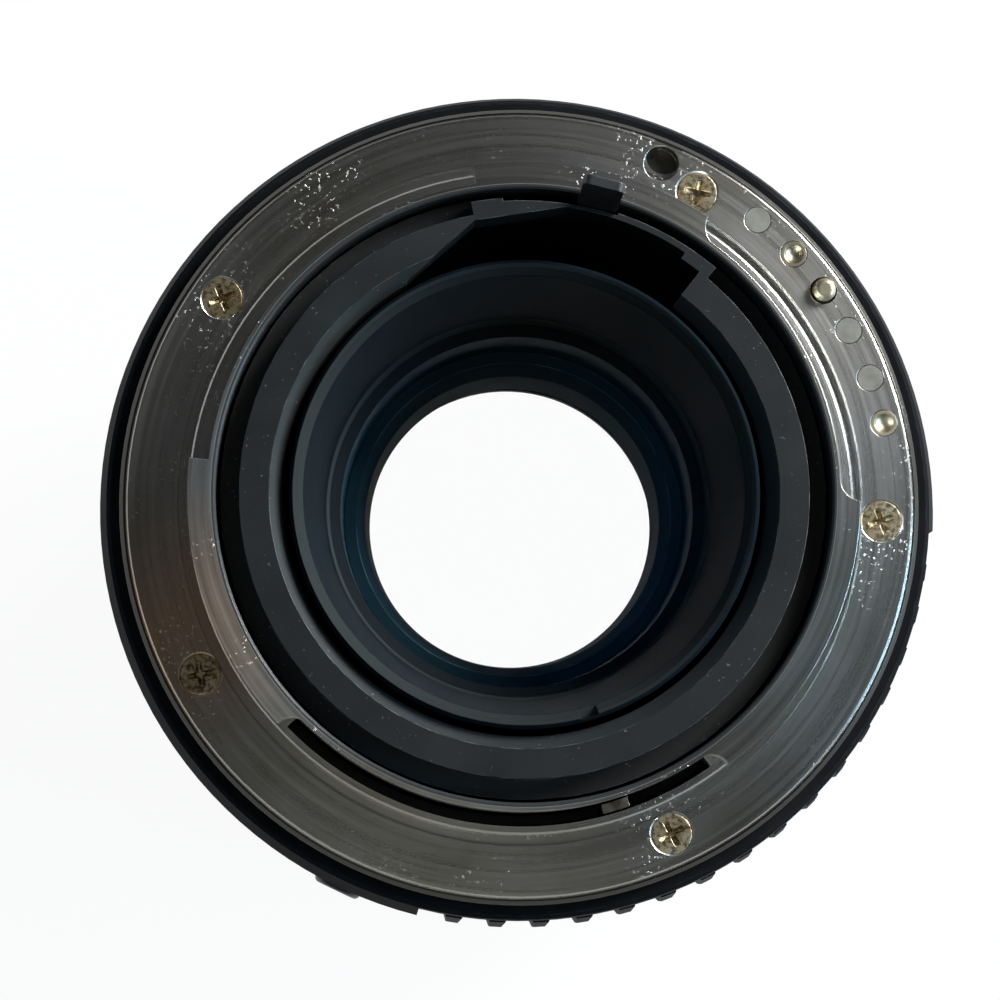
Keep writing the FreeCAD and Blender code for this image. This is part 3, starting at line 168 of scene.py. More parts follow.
# Surroundings, lengths in metres
floor_half_size = 3.0
floor_gap = 0.0002
floor_whiteness = 0.94
lamp_target_height = 0.07


def mm(value):
    return value / 1000


def polar(radius, angle, z=0.0):
    turn = math.radians(angle)
    return Vector((mm(radius) * math.cos(turn), mm(radius) * math.sin(turn), mm(z)))


def top_of(node):
    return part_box(node)[1].z * 1000


def bottom_of(node):
    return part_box(node)[0].z * 1000


def radius_of(node):
    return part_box(node)[1].x * 1000


# Shader helpers

def start(name):
    material = bpy.data.materials.new(name)
    material.use_nodes = True
    tree = material.node_tree
    return material, tree, tree.nodes["Principled BSDF"]


def add(tree, kind, inputs=None, **settings):
    made = tree.nodes.new(kind)
    for key, value in settings.items():
        setattr(made, key, value)
    for key, value in (inputs or {}).items():
        if isinstance(value, bpy.types.NodeSocket):
            tree.links.new(value, made.inputs[key])
        else:
            made.inputs[key].default_value = value
    return made


def maths(tree, operation, first, second=0.0):
    return add(tree, "ShaderNodeMath", {0: first, 1: second}, operation=operation).outputs[0]


def place(tree):
    return add(tree, "ShaderNodeTexCoord").outputs["Object"]


def split(tree, vector):
    made = add(tree, "ShaderNodeSeparateXYZ", {0: vector})
    return made.outputs[0], made.outputs[1], made.outputs[2]


def away_from(tree, point):
    """Distance from the line through a point that runs along the lens."""
    offset = add(tree, "ShaderNodeVectorMath", {0: place(tree), 1: point}, operation="SUBTRACT")
    flat = add(tree, "ShaderNodeVectorMath", {0: offset.outputs[0], 1: (1, 1, 0)}, operation="MULTIPLY")
    return add(tree, "ShaderNodeVectorMath", {0: flat.outputs[0]}, operation="LENGTH").outputs["Value"]


def distance_from_axis(tree):
    return away_from(tree, (0, 0, 0))


def turned_place(tree, across, along):
    """Coordinates that stretch a noise round the axis, as turning in a lathe does."""
    radius = distance_from_axis(tree)
    x, y, z = split(tree, place(tree))
    around_x = maths(tree, "MULTIPLY", maths(tree, "DIVIDE", x, radius), along)
    around_y = maths(tree, "MULTIPLY", maths(tree, "DIVIDE", y, radius), along)
    outward = maths(tree, "MULTIPLY", maths(tree, "ADD", radius, z), across)
    return add(tree, "ShaderNodeCombineXYZ", {0: outward, 1: around_x, 2: around_y}).outputs[0]


def noise(tree, scale, detail=3.0, roughness=0.55, vector=None):
    inputs = {"Scale": scale, "Detail": detail, "Roughness": roughness, "Vector": vector or place(tree)}
    return add(tree, "ShaderNodeTexNoise", inputs).outputs["Fac"]


def ramp(tree, factor, stops):
    """Colour ramp from (position, colour) pairs, where a colour may be one grey number."""
    made = add(tree, "ShaderNodeValToRGB", {"Fac": factor})
    elements = made.color_ramp.elements
    while len(elements) < len(stops):
        elements.new(1.0)
    for element, (position, colour) in zip(elements, stops):
        element.position = position
        grey = not isinstance(colour, tuple)
        element.color = (colour, colour, colour, 1) if grey else (*colour, 1)
    return made.outputs["Color"]


def spread(tree, factor, low, high):
    return add(tree, "ShaderNodeMapRange", {"Value": factor, "To Min": low, "To Max": high}).outputs[0]


def bump(tree, shader, height, depth, below=None):
    """Height is 0 to 1, depth is its real size in millimetres."""
    inputs = {"Height": height, "Distance": mm(depth), "Strength": 1.0}
    if below is not None:
        inputs["Normal"] = below
    made = add(tree, "ShaderNodeBump", inputs)
    tree.links.new(made.outputs["Normal"], shader.inputs["Normal"])
    return made.outputs["Normal"]


def mixed(tree, factor, first, second):
    made = tree.nodes.new("ShaderNodeMix")
    made.data_type = "RGBA"
    for key, value in (("Factor", factor), ("A", first), ("B", second)):
        socket = next(s for s in made.inputs if s.name == key and s.enabled)
        if isinstance(value, bpy.types.NodeSocket):
            tree.links.new(value, socket)
        else:
            socket.default_value = value if key == "Factor" else (*value, 1)
    return next(s for s in made.outputs if s.enabled)


def past(tree, value, edge, width=0.05):
    """0 below an edge in millimetres and 1 above it."""
    inputs = {"Value": value, "From Min": mm(edge), "From Max": mm(edge + width)}
    return add(tree, "ShaderNodeMapRange", inputs).outputs[0]


def rounded_edges(tree, radius):
    """Normal that rounds sharp edges a little, so that they catch the light. Radius in millimetres."""
    return add(tree, "ShaderNodeBevel", {"Radius": mm(radius)}, samples=4).outputs[0]


def rubbed_edges(tree, rounded, scale, amount):
    """Patchy mask of the edges: rubbed-off finish where it pales black paint, and a painted highlight
    where it lightens the steel and the retaining ring.
    """
    flat = add(tree, "ShaderNodeNewGeometry").outputs["Normal"]
    same = add(tree, "ShaderNodeVectorMath", {0: rounded, 1: flat}, operation="DOT_PRODUCT")
    turned_away = maths(tree, "SUBTRACT", 1.0, same.outputs["Value"])
    edge = ramp(tree, turned_away, [(0.02, 0.0), (0.12, 1.0)])
    patchy = ramp(tree, noise(tree, scale), [(0.42, 0.0), (0.62, amount)])
    return maths(tree, "MULTIPLY", edge, patchy)


# Materials

def bayonet_steel():
    """Turned stainless steel: fine rings, specks and a black bore, with a painted warm reflection,
    painted highlights on the edges, and painted shade in the lock hole and on the plate's outer edge.
    """
    material, tree, shader = start("bayonet_steel")
    turning = noise(tree, 1.0, 2.0, 0.7, turned_place(tree, 9000, 3.0))
    bands = noise(tree, 1.0, 3.0, 0.6, turned_place(tree, 2600, 1.2))
    blotches = noise(tree, 110, 4.0)
    dots = ramp(tree, noise(tree, 3000, 3.0, 0.6), [(0.62, 0.0), (0.66, 1.0)])
    grazed = ramp(tree, noise(tree, 150, 3.0), [(0.5, 0.0), (0.66, 1.0)])
    specks = maths(tree, "MULTIPLY", dots, grazed)
    plain = ramp(tree, blotches, [
        (0.32, (0.46, 0.45, 0.40)), (0.5, (0.56, 0.56, 0.53)), (0.7, (0.62, 0.63, 0.63))
    ])
    lined = mixed(tree, ramp(tree, bands, [(0.45, 0.0), (0.7, 0.3)]), plain, (0.82, 0.82, 0.8))
    # Painted reflection: a warm patch round a point on the plate
    to_warm_reflection = away_from(tree, polar(warm_reflection_circle, warm_reflection_angle))
    beyond_reflection = past(tree, to_warm_reflection, warm_reflection_core, warm_reflection_width)
    warm = maths(tree, "MULTIPLY", maths(tree, "SUBTRACT", 1.0, beyond_reflection), spread(tree, blotches, 0.1, 1.1))
    warm_reflected = mixed(tree, warm, lined, (0.95, 0.62, 0.40))
    rounded = rounded_edges(tree, 0.09)
    # Painted highlight: the edges are lightened in patches
    edge_highlit = mixed(tree, rubbed_edges(tree, rounded, 500, 0.8), warm_reflected, (0.92, 0.92, 0.9))
    speckled = mixed(tree, specks, edge_highlit, (0.85, 0.84, 0.8))
    # Painted shade: inside the lock hole, below the face, the steel is darkened
    away = away_from(tree, polar(lock_hole_circle, lock_hole_angle))
    face = past(tree, split(tree, place(tree))[2], top_of("mount_screws") - lock_hole_lip)
    outside = maths(tree, "MAXIMUM", face, past(tree, away, lock_hole_radius))
    darkened = mixed(tree, outside, (0.14, 0.135, 0.12), speckled)
    radius = distance_from_axis(tree)
    # Painted shade: the plate's outer edge is darkened
    edge_shaded = mixed(tree, past(tree, radius, plate_edge_radius), darkened, (0.09, 0.088, 0.08))
    bright = past(tree, radius, throat_radius)
    tree.links.new(mixed(tree, bright, (0.03, 0.032, 0.032), edge_shaded), shader.inputs["Base Color"])
    tree.links.new(bright, shader.inputs["Metallic"])
    shader.inputs["Anisotropic"].default_value = 0.5
    shader.inputs["Anisotropic Rotation"].default_value = 0.25
    dull = maths(tree, "ADD", spread(tree, bands, 0.2, 0.37), maths(tree, "MULTIPLY", specks, 0.35))
    tree.links.new(dull, shader.inputs["Roughness"])
    tangent = add(tree, "ShaderNodeTangent", direction_type="RADIAL", axis="Z")
    tree.links.new(tangent.outputs[0], shader.inputs["Tangent"])
    lines = bump(tree, shader, turning, 0.003, rounded)
    bump(tree, shader, specks, 0.012, lines)
    return material


def black_finish(name, colour, roughness, grain=0.004, specular=0.5, dust=0.0, rubbed=0.0):
    """Black anodised or painted metal: uneven gloss, fine turning lines, dust and rubbed edges."""
    material, tree, shader = start(name)
    cloud = noise(tree, 140, 4.0)
    turning = noise(tree, 1.0, 2.0, 0.6, turned_place(tree, 5000, 2.0))
    rounded = rounded_edges(tree, 0.1)
    low = tuple(part * 0.75 for part in colour)
    high = tuple(part * 1.3 for part in colour)
    base = ramp(tree, cloud, [(0.3, low), (0.7, high)])
    if dust:
        specks = ramp(tree, noise(tree, 3400, 1.0), [(0.72, 0.0), (0.76, dust)])
        base = mixed(tree, specks, base, (0.30, 0.31, 0.31))
    if rubbed:
        base = mixed(tree, rubbed_edges(tree, rounded, 900, rubbed), base, (0.36, 0.37, 0.36))
    tree.links.new(base, shader.inputs["Base Color"])
    shader.inputs["Specular IOR Level"].default_value = specular
    tree.links.new(spread(tree, cloud, roughness * 0.8, roughness * 1.25), shader.inputs["Roughness"])
    bump(tree, shader, turning, grain, rounded)
    return material


def baffle_black():
    """Black light trap with a paler lip, which is painted light."""
    material, tree, shader = start("baffle_black")
    cloud = noise(tree, 140, 4.0)
    turning = noise(tree, 1.0, 2.0, 0.6, turned_place(tree, 5000, 2.0))
    rounded = rounded_edges(tree, 0.08)
    lip = ramp(tree, cloud, [(0.3, (0.017, 0.020, 0.021)), (0.7, (0.023, 0.027, 0.028))])
    flat = ramp(tree, cloud, [(0.3, (0.0055, 0.0065, 0.0068)), (0.7, (0.0095, 0.0115, 0.012))])
    # Painted light: the inner lip is paler than the flat band
    base = mixed(tree, past(tree, distance_from_axis(tree), baffle_lip_radius), lip, flat)
    specks = ramp(tree, noise(tree, 3400, 1.0), [(0.74, 0.0), (0.78, 0.3)])
    base = mixed(tree, specks, base, (0.24, 0.26, 0.26))
    base = mixed(tree, rubbed_edges(tree, rounded, 700, 0.6), base, (0.30, 0.33, 0.34))
    tree.links.new(base, shader.inputs["Base Color"])
    shader.inputs["Specular IOR Level"].default_value = 0.3
    tree.links.new(spread(tree, cloud, 0.45, 0.6), shader.inputs["Roughness"])
    bump(tree, shader, turning, 0.006, rounded)
    return material


def black_anodised():
    colour = (0.008, 0.008, 0.009)
    return black_finish("black_anodised", colour, 0.36, grain=0.003, specular=0.22, rubbed=0.25)


def aperture_black():
    colour = (0.0085, 0.0088, 0.0098)
    return black_finish("aperture_black", colour, 0.45, grain=0.002, specular=0.01, rubbed=0.1)


def lever_black():
    return black_finish("lever_black", (0.018, 0.019, 0.02), 0.4, dust=0.2, rubbed=0.5)


def tube_black():
    """Rear tube: grey lip, black wall, a paler step over a dark ledge, and blue-black below them; the
    grey lip and the paler step are painted light.
    """
    material, tree, shader = start("tube_black")
    cloud = noise(tree, 140, 4.0)
    turning = noise(tree, 1.0, 2.0, 0.6, turned_place(tree, 5000, 2.0))
    rounded = rounded_edges(tree, 0.1)
    height = split(tree, place(tree))[2]
    deep = ramp(tree, cloud, [(0.3, (0.012, 0.034, 0.050)), (0.7, (0.018, 0.048, 0.068))])
    ledge = ramp(tree, cloud, [(0.3, (0.007, 0.010, 0.0125)), (0.7, (0.010, 0.0145, 0.0175))])
    black = ramp(tree, cloud, [(0.3, (0.0026, 0.0058, 0.0084)), (0.7, (0.0035, 0.0077, 0.011))])
    base = mixed(tree, past(tree, height, tube_ledge_height), deep, ledge)
    # Painted light: the step is paler
    base = mixed(tree, past(tree, height, tube_step_height), base, (0.036, 0.044, 0.044))
    base = mixed(tree, past(tree, height, tube_wall_height), base, black)
    # Painted light: the lip at the top is grey
    lip = maths(tree, "SUBTRACT", 1.0, past(tree, distance_from_axis(tree), tube_lip_radius))
    lip = maths(tree, "MULTIPLY", past(tree, height, tube_lip_height), lip)
    base = mixed(tree, lip, base, (0.022, 0.026, 0.026))
    base = mixed(tree, rubbed_edges(tree, rounded, 700, 0.15), base, (0.16, 0.19, 0.2))
    tree.links.new(base, shader.inputs["Base Color"])
    shader.inputs["Specular IOR Level"].default_value = 0.03
    tree.links.new(spread(tree, cloud, 0.5, 0.65), shader.inputs["Roughness"])
    fallen = past(tree, distance_from_axis(tree), tube_lip_bore, 0.4)
    lines = bump(tree, shader, turning, 0.006, rounded)
    bump(tree, shader, fallen, 0.3, lines)
    return material


def ring_blue():
    """Blue-black retaining ring with a painted blue highlight on its edges."""
    material, tree, shader = start("ring_blue")
    cloud = noise(tree, 140, 4.0)
    rounded = rounded_edges(tree, 0.07)
    dark = ramp(tree, cloud, [(0.3, (0.012, 0.034, 0.050)), (0.7, (0.018, 0.048, 0.068))])
    # Painted highlight: pale blue on the edges
    base = mixed(tree, rubbed_edges(tree, rounded, 120, 1.0), dark, (0.35, 0.6, 0.75))
    tree.links.new(base, shader.inputs["Base Color"])
    shader.inputs["Specular IOR Level"].default_value = 0.01
    tree.links.new(spread(tree, cloud, 0.5, 0.65), shader.inputs["Roughness"])
    bump(tree, shader, cloud, 0.004, rounded)
    return material


def coupling_metal():
    """Blackened ring whose tab is bare metal at its rubbed tip."""
    material, tree, shader = start("coupling_metal")
    cloud = noise(tree, 900, 4.0)
    bare = past(tree, split(tree, place(tree))[2], coupling_tip_height, 1.0)
    black = ramp(tree, cloud, [(0.3, (0.004, 0.004, 0.004)), (0.7, (0.008, 0.008, 0.008))])
    tip = ramp(tree, cloud, [(0.35, (0.12, 0.10, 0.075)), (0.65, (0.42, 0.38, 0.31))])
    tree.links.new(mixed(tree, bare, black, tip), shader.inputs["Base Color"])
    tree.links.new(bare, shader.inputs["Metallic"])
    tree.links.new(spread(tree, cloud, 0.3, 0.5), shader.inputs["Roughness"])
    bump(tree, shader, cloud, 0.006, rounded_edges(tree, 0.08))
    return material


def metal(name, colour, roughness, grain=0.003):
    """Bare or plated metal with fine scratches and slight tarnish."""
    material, tree, shader = start(name)
    cloud = noise(tree, 260, 4.0)
    low = tuple(part * 0.7 for part in colour)
    tree.links.new(ramp(tree, cloud, [(0.3, low), (0.65, colour)]), shader.inputs["Base Color"])
    shader.inputs["Metallic"].default_value = 1.0
    tree.links.new(spread(tree, cloud, roughness * 0.7, roughness * 1.3), shader.inputs["Roughness"])
    bump(tree, shader, noise(tree, 6000, 2.0), grain, rounded_edges(tree, 0.06))
    return material


def nickel_screws():
    """Plated screw heads, golden and grimy."""
    material, tree, shader = start("nickel_screws")
    grime = noise(tree, 2600, 5.0, 0.65)
    cloud = noise(tree, 500, 2.0)
    bright = ramp(tree, cloud, [(0.35, (0.55, 0.42, 0.24)), (0.65, (0.78, 0.68, 0.48))])
    darkened = ramp(tree, grime, [(0.4, 0.92), (0.55, 0.0)])
    tree.links.new(mixed(tree, darkened, bright, (0.10, 0.085, 0.055)), shader.inputs["Base Color"])
    shader.inputs["Metallic"].default_value = 1.0
    tree.links.new(spread(tree, grime, 0.5, 0.26), shader.inputs["Roughness"])
    bump(tree, shader, grime, 0.012, rounded_edges(tree, 0.08))
    return material


def coated_glass(name, tint, coat):
    """Clear glass whose coating gives a faint reflection and hardly bends what is seen through it."""
    material, tree, shader = start(name)
    cloud = noise(tree, 60, 2.0)
    tree.links.new(ramp(tree, cloud, [(0.3, tint), (0.7, (1, 1, 1))]), shader.inputs["Base Color"])
    shader.inputs["Transmission Weight"].default_value = 1.0
    shader.inputs["Roughness"].default_value = 0.0
    shader.inputs["IOR"].default_value = 1.01
    shader.inputs["Coat Weight"].default_value = coat
    shader.inputs["Coat Roughness"].default_value = 0.02
    return material


def grip_rubber():
    """Ribbed black rubber with a dusty bloom."""
    material, tree, shader = start("grip_rubber")
    bloom = noise(tree, 200, 5.0)
    colour = ramp(tree, bloom, [(0.35, (0.010, 0.010, 0.010)), (0.75, (0.028, 0.027, 0.026))])
    tree.links.new(colour, shader.inputs["Base Color"])
    tree.links.new(spread(tree, bloom, 0.55, 0.85), shader.inputs["Roughness"])
    shader.inputs["Specular IOR Level"].default_value = 0.35
    bump(tree, shader, noise(tree, 5200, 2.0), 0.015, rounded_edges(tree, 0.15))
    return material


def grey_plastic():
    """Pale grey moulded contacts."""
    material, tree, shader = start("grey_plastic")
    cloud = noise(tree, 900, 4.0)
    colour = ramp(tree, cloud, [(0.3, (0.12, 0.112, 0.09)), (0.7, (0.19, 0.182, 0.155))])
    tree.links.new(colour, shader.inputs["Base Color"])
    tree.links.new(spread(tree, cloud, 0.45, 0.65), shader.inputs["Roughness"])
    bump(tree, shader, noise(tree, 5000, 2.0), 0.006, rounded_edges(tree, 0.08))
    return material


def enamel(name, colour):
    """Painted mark that fills an engraving."""
    material, tree, shader = start(name)
    wear = noise(tree, 3000, 4.0)
    low = tuple(part * 0.7 for part in colour)
    tree.links.new(ramp(tree, wear, [(0.3, low), (0.6, colour)]), shader.inputs["Base Color"])
    shader.inputs["Roughness"].default_value = 0.5
    bump(tree, shader, wear, 0.005)
    return material


def white_floor():
    """Pale floor that the camera, metal and glass see as white, with the object's shadow kept on it."""
    material, tree, shader = start("white_floor")
    shader.inputs["Base Color"].default_value = (0.82, 0.82, 0.82, 1)
    shader.inputs["Roughness"].default_value = 0.9
    path = add(tree, "ShaderNodeLightPath")
    seen = maths(tree, "MAXIMUM", path.outputs["Is Camera Ray"], path.outputs["Is Glossy Ray"])
    seen = maths(tree, "MULTIPLY", seen, floor_whiteness)
    share = maths(tree, "MAXIMUM", seen, path.outputs["Is Transmission Ray"])
    glow = add(tree, "ShaderNodeEmission", {"Color": (1, 1, 1, 1), "Strength": 1.0})
    mix = add(tree, "ShaderNodeMixShader", {0: share, 1: shader.outputs[0], 2: glow.outputs[0]})
    tree.links.new(mix.outputs[0], tree.nodes["Material Output"].inputs["Surface"])
    return material


def finishes():
    """Every material by its name: a slot's name, or that of a look for some nodes only."""
    return {
        "black_anodised": black_anodised(),
        "coated_glass": coated_glass("coated_glass", (0.999, 1.0, 1.0), 0.04),
        "front_coating": coated_glass("front_coating", (0.995, 0.999, 1.0), 0.25),
        "screw_steel": metal("screw_steel", (0.55, 0.54, 0.52), 0.35),
        "white_bead": enamel("white_bead", (0.75, 0.74, 0.70)),
        "key_brass": metal("key_brass", (0.70, 0.52, 0.25), 0.35),
        "bayonet_steel": bayonet_steel(),
        "nickel_screws": nickel_screws(),
        "baffle_black": baffle_black(),
        "grey_plastic": grey_plastic(),
        "contact_metal": metal("contact_metal", (0.56, 0.50, 0.36), 0.4),
        "spring_steel": metal("spring_steel", (0.5, 0.5, 0.5), 0.3),
        "lever_steel": metal("lever_steel", (0.52, 0.51, 0.49), 0.3),
        "lever_black": lever_black(),
        "aperture_black": aperture_black(),
        "button_black": black_finish("button_black", (0.02, 0.02, 0.022), 0.35),
        "helicoid_alloy": metal("helicoid_alloy", (0.45, 0.43, 0.38), 0.3),
        "grip_rubber": grip_rubber(),
        "blade_steel": metal("blade_steel", (0.06, 0.062, 0.066), 0.35),
        "tube_black": tube_black(),
        "ring_blue": ring_blue(),
        "inner_black": black_finish("inner_black", (0.004, 0.004, 0.0045), 0.5, specular=0.1),
        "coupling_metal": coupling_metal(),
    }


def dress_nodes(looks):
    """Gives every loaded node the material of its slot, apart from a few with a look of their own."""
    slot_of = {part["node"]: part["material_slot"] for part in frame["record"]["subparts"]}
    own_look = {
        "rear_tube": "tube_black",
        "rear_retaining_ring": "ring_blue",
        "stop_down_ring": "inner_black",
        "rear_housing": "inner_black",
        "aperture_coupling_ring": "coupling_metal",
        "front_element": "front_coating",
    }
    for name, node in frame["nodes"].items():
        node.data.materials.clear()
        node.data.materials.append(looks[own_look.get(name, slot_of[name])])


# Mesh helpers

def object_from(name, mesh, material, body):
    """A piece that rides on a body, with one material."""
    piece = bpy.data.objects.new(name, mesh)
    bpy.context.scene.collection.objects.link(piece)
    mesh.materials.append(material)
    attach(piece, body)
    return piece


def mesh_from(name, build):
    mesh = bpy.data.meshes.new(name)
    shape = bmesh.new()
    build(shape)
    bmesh.ops.recalc_face_normals(shape, faces=shape.faces)
    shape.to_mesh(mesh)
    shape.free()
    return mesh


def wall(shape, lower, upper):
    """Faces between two closed rings of as many points each."""
    for index in range(len(lower)):
        after = (index + 1) % len(lower)
        shape.faces.new((lower[index], lower[after], upper[after], upper[index]))


def cross_outline(arm, half, steps=3):
    """Corners of a plus with slightly rounded arm ends; its arm and half width are in millimetres."""
    corners = []
    end_swing = math.radians(60)
    end_round = 0.35
    inner_corner = 1.15 * half
    for quarter in range(4):
        turn = Matrix.Rotation(math.radians(90 * quarter), 2)
        for step in range(steps + 1):
            swing = end_swing * (2 * step / steps - 1)
            reach = arm - half * end_round * (1 - math.cos(swing))
            side = half * math.sin(swing) / math.sin(end_swing)
            corners.append(turn @ Vector((reach, side)))
        corners.append(turn @ Vector((inner_corner, inner_corner)))
    return corners


def screw_head(shape, top, turn, segments=40):
    """Countersunk head and shank with a cross recess, the middle of whose head is at top."""
    seat = Matrix.Translation(top) @ Matrix.Rotation(math.radians(turn), 4, "Z")

    def ring(radius, z):
        angles = [360 * step / segments for step in range(segments)]
        return [shape.verts.new(seat @ polar(radius, angle, z)) for angle in angles]

    def cross(arm, half, z):
        corners = cross_outline(arm, half)
        return [shape.verts.new(seat @ Vector((mm(p.x), mm(p.y), mm(z)))) for p in corners]

    def edges_of(line):
        return [shape.edges.get((line[index - 1], line[index])) for index in range(len(line))]

    shank = ring(screw_shank_radius, -screw_length)
    neck = ring(screw_shank_radius, -screw_head_depth)
    edge = ring(screw_head_radius, screw_edge_height)
    crown = ring(screw_head_radius - screw_crown_inset, screw_crown_height)
    shape.faces.new(shank)
    wall(shape, shank, neck)
    wall(shape, neck, edge)
    wall(shape, edge, crown)
    rim = cross(*cross_rim)
    waist = cross(*cross_waist)
    deep = cross(*cross_floor)
    wall(shape, waist, rim)
    wall(shape, deep, waist)
    shape.faces.new(deep)
    bmesh.ops.triangle_fill(shape, use_beauty=True, edges=edges_of(crown) + edges_of(rim))


def mount_screw_heads(looks):
    """Five cross-recess screws in place of the plain ones."""
    top = top_of("mount_screws")

    def build(shape):
        for angle, turn in zip(screw_angles, screw_cross_turns):
            screw_head(shape, polar(screw_circle, angle, top), turn)

    mesh = mesh_from("mount_screw_heads", build)
    look = looks["nickel_screws"]
    piece = object_from("mount_screw_heads", mesh, look, "rear_barrel")
    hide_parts("mount_screws")


def pressed_coil(looks):
    """Spring under the sprung pin, a copy of the loaded one that rides on the rear barrel."""
    mesh = frame["nodes"]["auto_pin_spring"].data.copy()
    mesh.materials.clear()
    look = looks["spring_steel"]
    piece = object_from("auto_pin_coil", mesh, look, "rear_barrel")
    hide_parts("auto_pin_spring")
    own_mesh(piece)


def blade_shoulder(shape, index, outer, sweep, steps=6):
    """Thin plate that widens one blade out to a radius, over a sweep of angles past its pivot."""
    low = first_blade_height + blade_pitch * index + blade_slack
    high = low + blade_thickness - 2 * blade_slack
    first, last = (360 * index / blade_count + angle for angle in sweep)
    inner = blade_shoulder_inner
    rows = []
    for step in range(steps + 1):
        angle = first + (last - first) * step / steps
        corners = ((inner, low), (outer, low), (outer, high), (inner, high))
        rows.append([shape.verts.new(polar(radius, angle, z)) for radius, z in corners])
    for near, far in zip(rows, rows[1:]):
        wall(shape, near, far)
    shape.faces.new(rows[0])
    shape.faces.new(rows[-1])


def blade_shoulders(looks):
    """Widens the iris blades beside their heads and at their tips, so that they overlap when closed."""
    places = {
        "shoulder": (blade_shoulder_outer, blade_shoulder_sweep),
        "tip": (blade_tip_outer, blade_tip_sweep),
    }
    for index in range(blade_count):
        body = f"blade_{index + 1}"
        for part, (outer, sweep) in places.items():
            name = f"{body}_{part}"
            mesh = mesh_from(name, lambda shape: blade_shoulder(shape, index, outer, sweep))
            object_from(name, mesh, looks["blade_steel"], body)


# Painted marks, wrapped round the barrel

def flat_text(words, size):
    """Mesh of one line of figures in the XY plane, in millimetres, centred on its place."""
    curve = bpy.data.curves.new("figures", "FONT")
    curve.body = words
    curve.size = size
    curve.align_x = "CENTER"
    curve.align_y = "CENTER"
    curve.resolution_u = 4
    holder = bpy.data.objects.new("figures", curve)
    bpy.context.scene.collection.objects.link(holder)
    bpy.context.view_layer.update()
    shown = holder.evaluated_get(bpy.context.evaluated_depsgraph_get())
    mesh = bpy.data.meshes.new_from_object(shown)
    bpy.data.objects.remove(holder)
    bpy.data.curves.remove(curve)
    return mesh


def wrap(point, radius, angle, z):
    """A flat point laid on a ring, its top towards the front of the lens."""
    turn = math.radians(angle) - point.x / radius
    return Vector((mm(radius) * math.cos(turn), mm(radius) * math.sin(turn), mm(z - point.y)))


def paint_figures(shape, words, size, radius, angle, z):
    mesh = flat_text(words, size)
    made = [shape.verts.new(wrap(v.co, radius + paint_height, angle, z)) for v in mesh.vertices]
    for face in mesh.polygons:
        shape.faces.new([made[index] for index in face.vertices])
    bpy.data.meshes.remove(mesh)


def paint_bar(shape, width, radius, angle, low, high, lean=0.0):
    """Straight mark along the barrel, leaning by some degrees round it."""
    steps = 8
    half = math.degrees(width / 2 / radius)
    rows = []
    for step in range(steps + 1):
        share = step / steps
        z = low + (high - low) * share
        middle = angle + lean * share
        outer = radius + paint_height
        rows.append([shape.verts.new(polar(outer, middle + side * half, z)) for side in (-1, 1)])
    for lower, upper in zip(rows, rows[1:]):
        shape.faces.new((lower[0], lower[1], upper[1], upper[0]))


def painted_piece(name, build, paint, body):
    object_from(name, mesh_from(name, build), paint, body)


def aperture_figures(looks):
    """Aperture numbers on the ring's smooth land, the widest one at the index."""
    radius = radius_of("aperture_ring")
    pitch = aperture_throw / len(aperture_marks)
    low = bottom_of("aperture_ring")

    def build(shape):
        for number, words in enumerate(aperture_marks):
            angle = index_angle + pitch * number
            paint_figures(shape, words, aperture_figure_size, radius, angle, low + aperture_figure_row)
            tick_low, tick_high = (low + height for height in aperture_tick)
            paint_bar(shape, aperture_tick_width, radius, angle, tick_low, tick_high)

    painted_piece("aperture_figures", build, looks["white_paint"], "aperture_group")


def focus_angle(metres):
    """How far the focus ring has turned when the lens is focused at this distance."""
    extension = focal_length ** 2 / (metres * 1000 - focal_length)
    return focus_throw * extension / focus_travel


def distance_figures(name, marks, unit, row, paint):
    """Distances round the focus ring, each where the ring stands at the index when focused there."""
    radius = radius_of("focus_ring")
    z = top_of("focus_ring") - row

    def build(shape):
        for value in marks:
            angle = index_angle - focus_angle(value * unit)
            paint_figures(shape, f"{value:g}", distance_figure_size, radius, angle, z)

    painted_piece(name, build, paint, "focus_group")


def infinity_point(turn):
    """Point of a lying figure eight, in millimetres."""
    reach = infinity_reach / (1 + math.sin(turn) ** 2)
    return Vector((reach * math.cos(turn), infinity_stretch * reach * math.sin(turn) * math.cos(turn)))


def infinity_mark(looks):
    """Sign for infinity beside the index, drawn as one thick line."""
    radius = radius_of("focus_ring")
    z = top_of("focus_ring") - metre_row
    steps = 48
    nudge = 0.01

    def build(shape):
        rows = []
        for step in range(steps):
            turn = math.tau * step / steps
            middle = infinity_point(turn)
            ahead = infinity_point(turn + nudge) - middle
            side = Vector((-ahead.y, ahead.x)).normalized() * infinity_half_stroke
            sides = [Vector((*(middle + side * way), 0)) for way in (-1, 1)]
            rows.append([
                shape.verts.new(wrap(point, radius + paint_height, index_angle, z)) for point in sides
            ])
        for index in range(steps):
            near, far = rows[index], rows[(index + 1) % steps]
            shape.faces.new((near[0], near[1], far[1], far[0]))

    painted_piece("infinity_mark", build, looks["white_paint"], "focus_group")


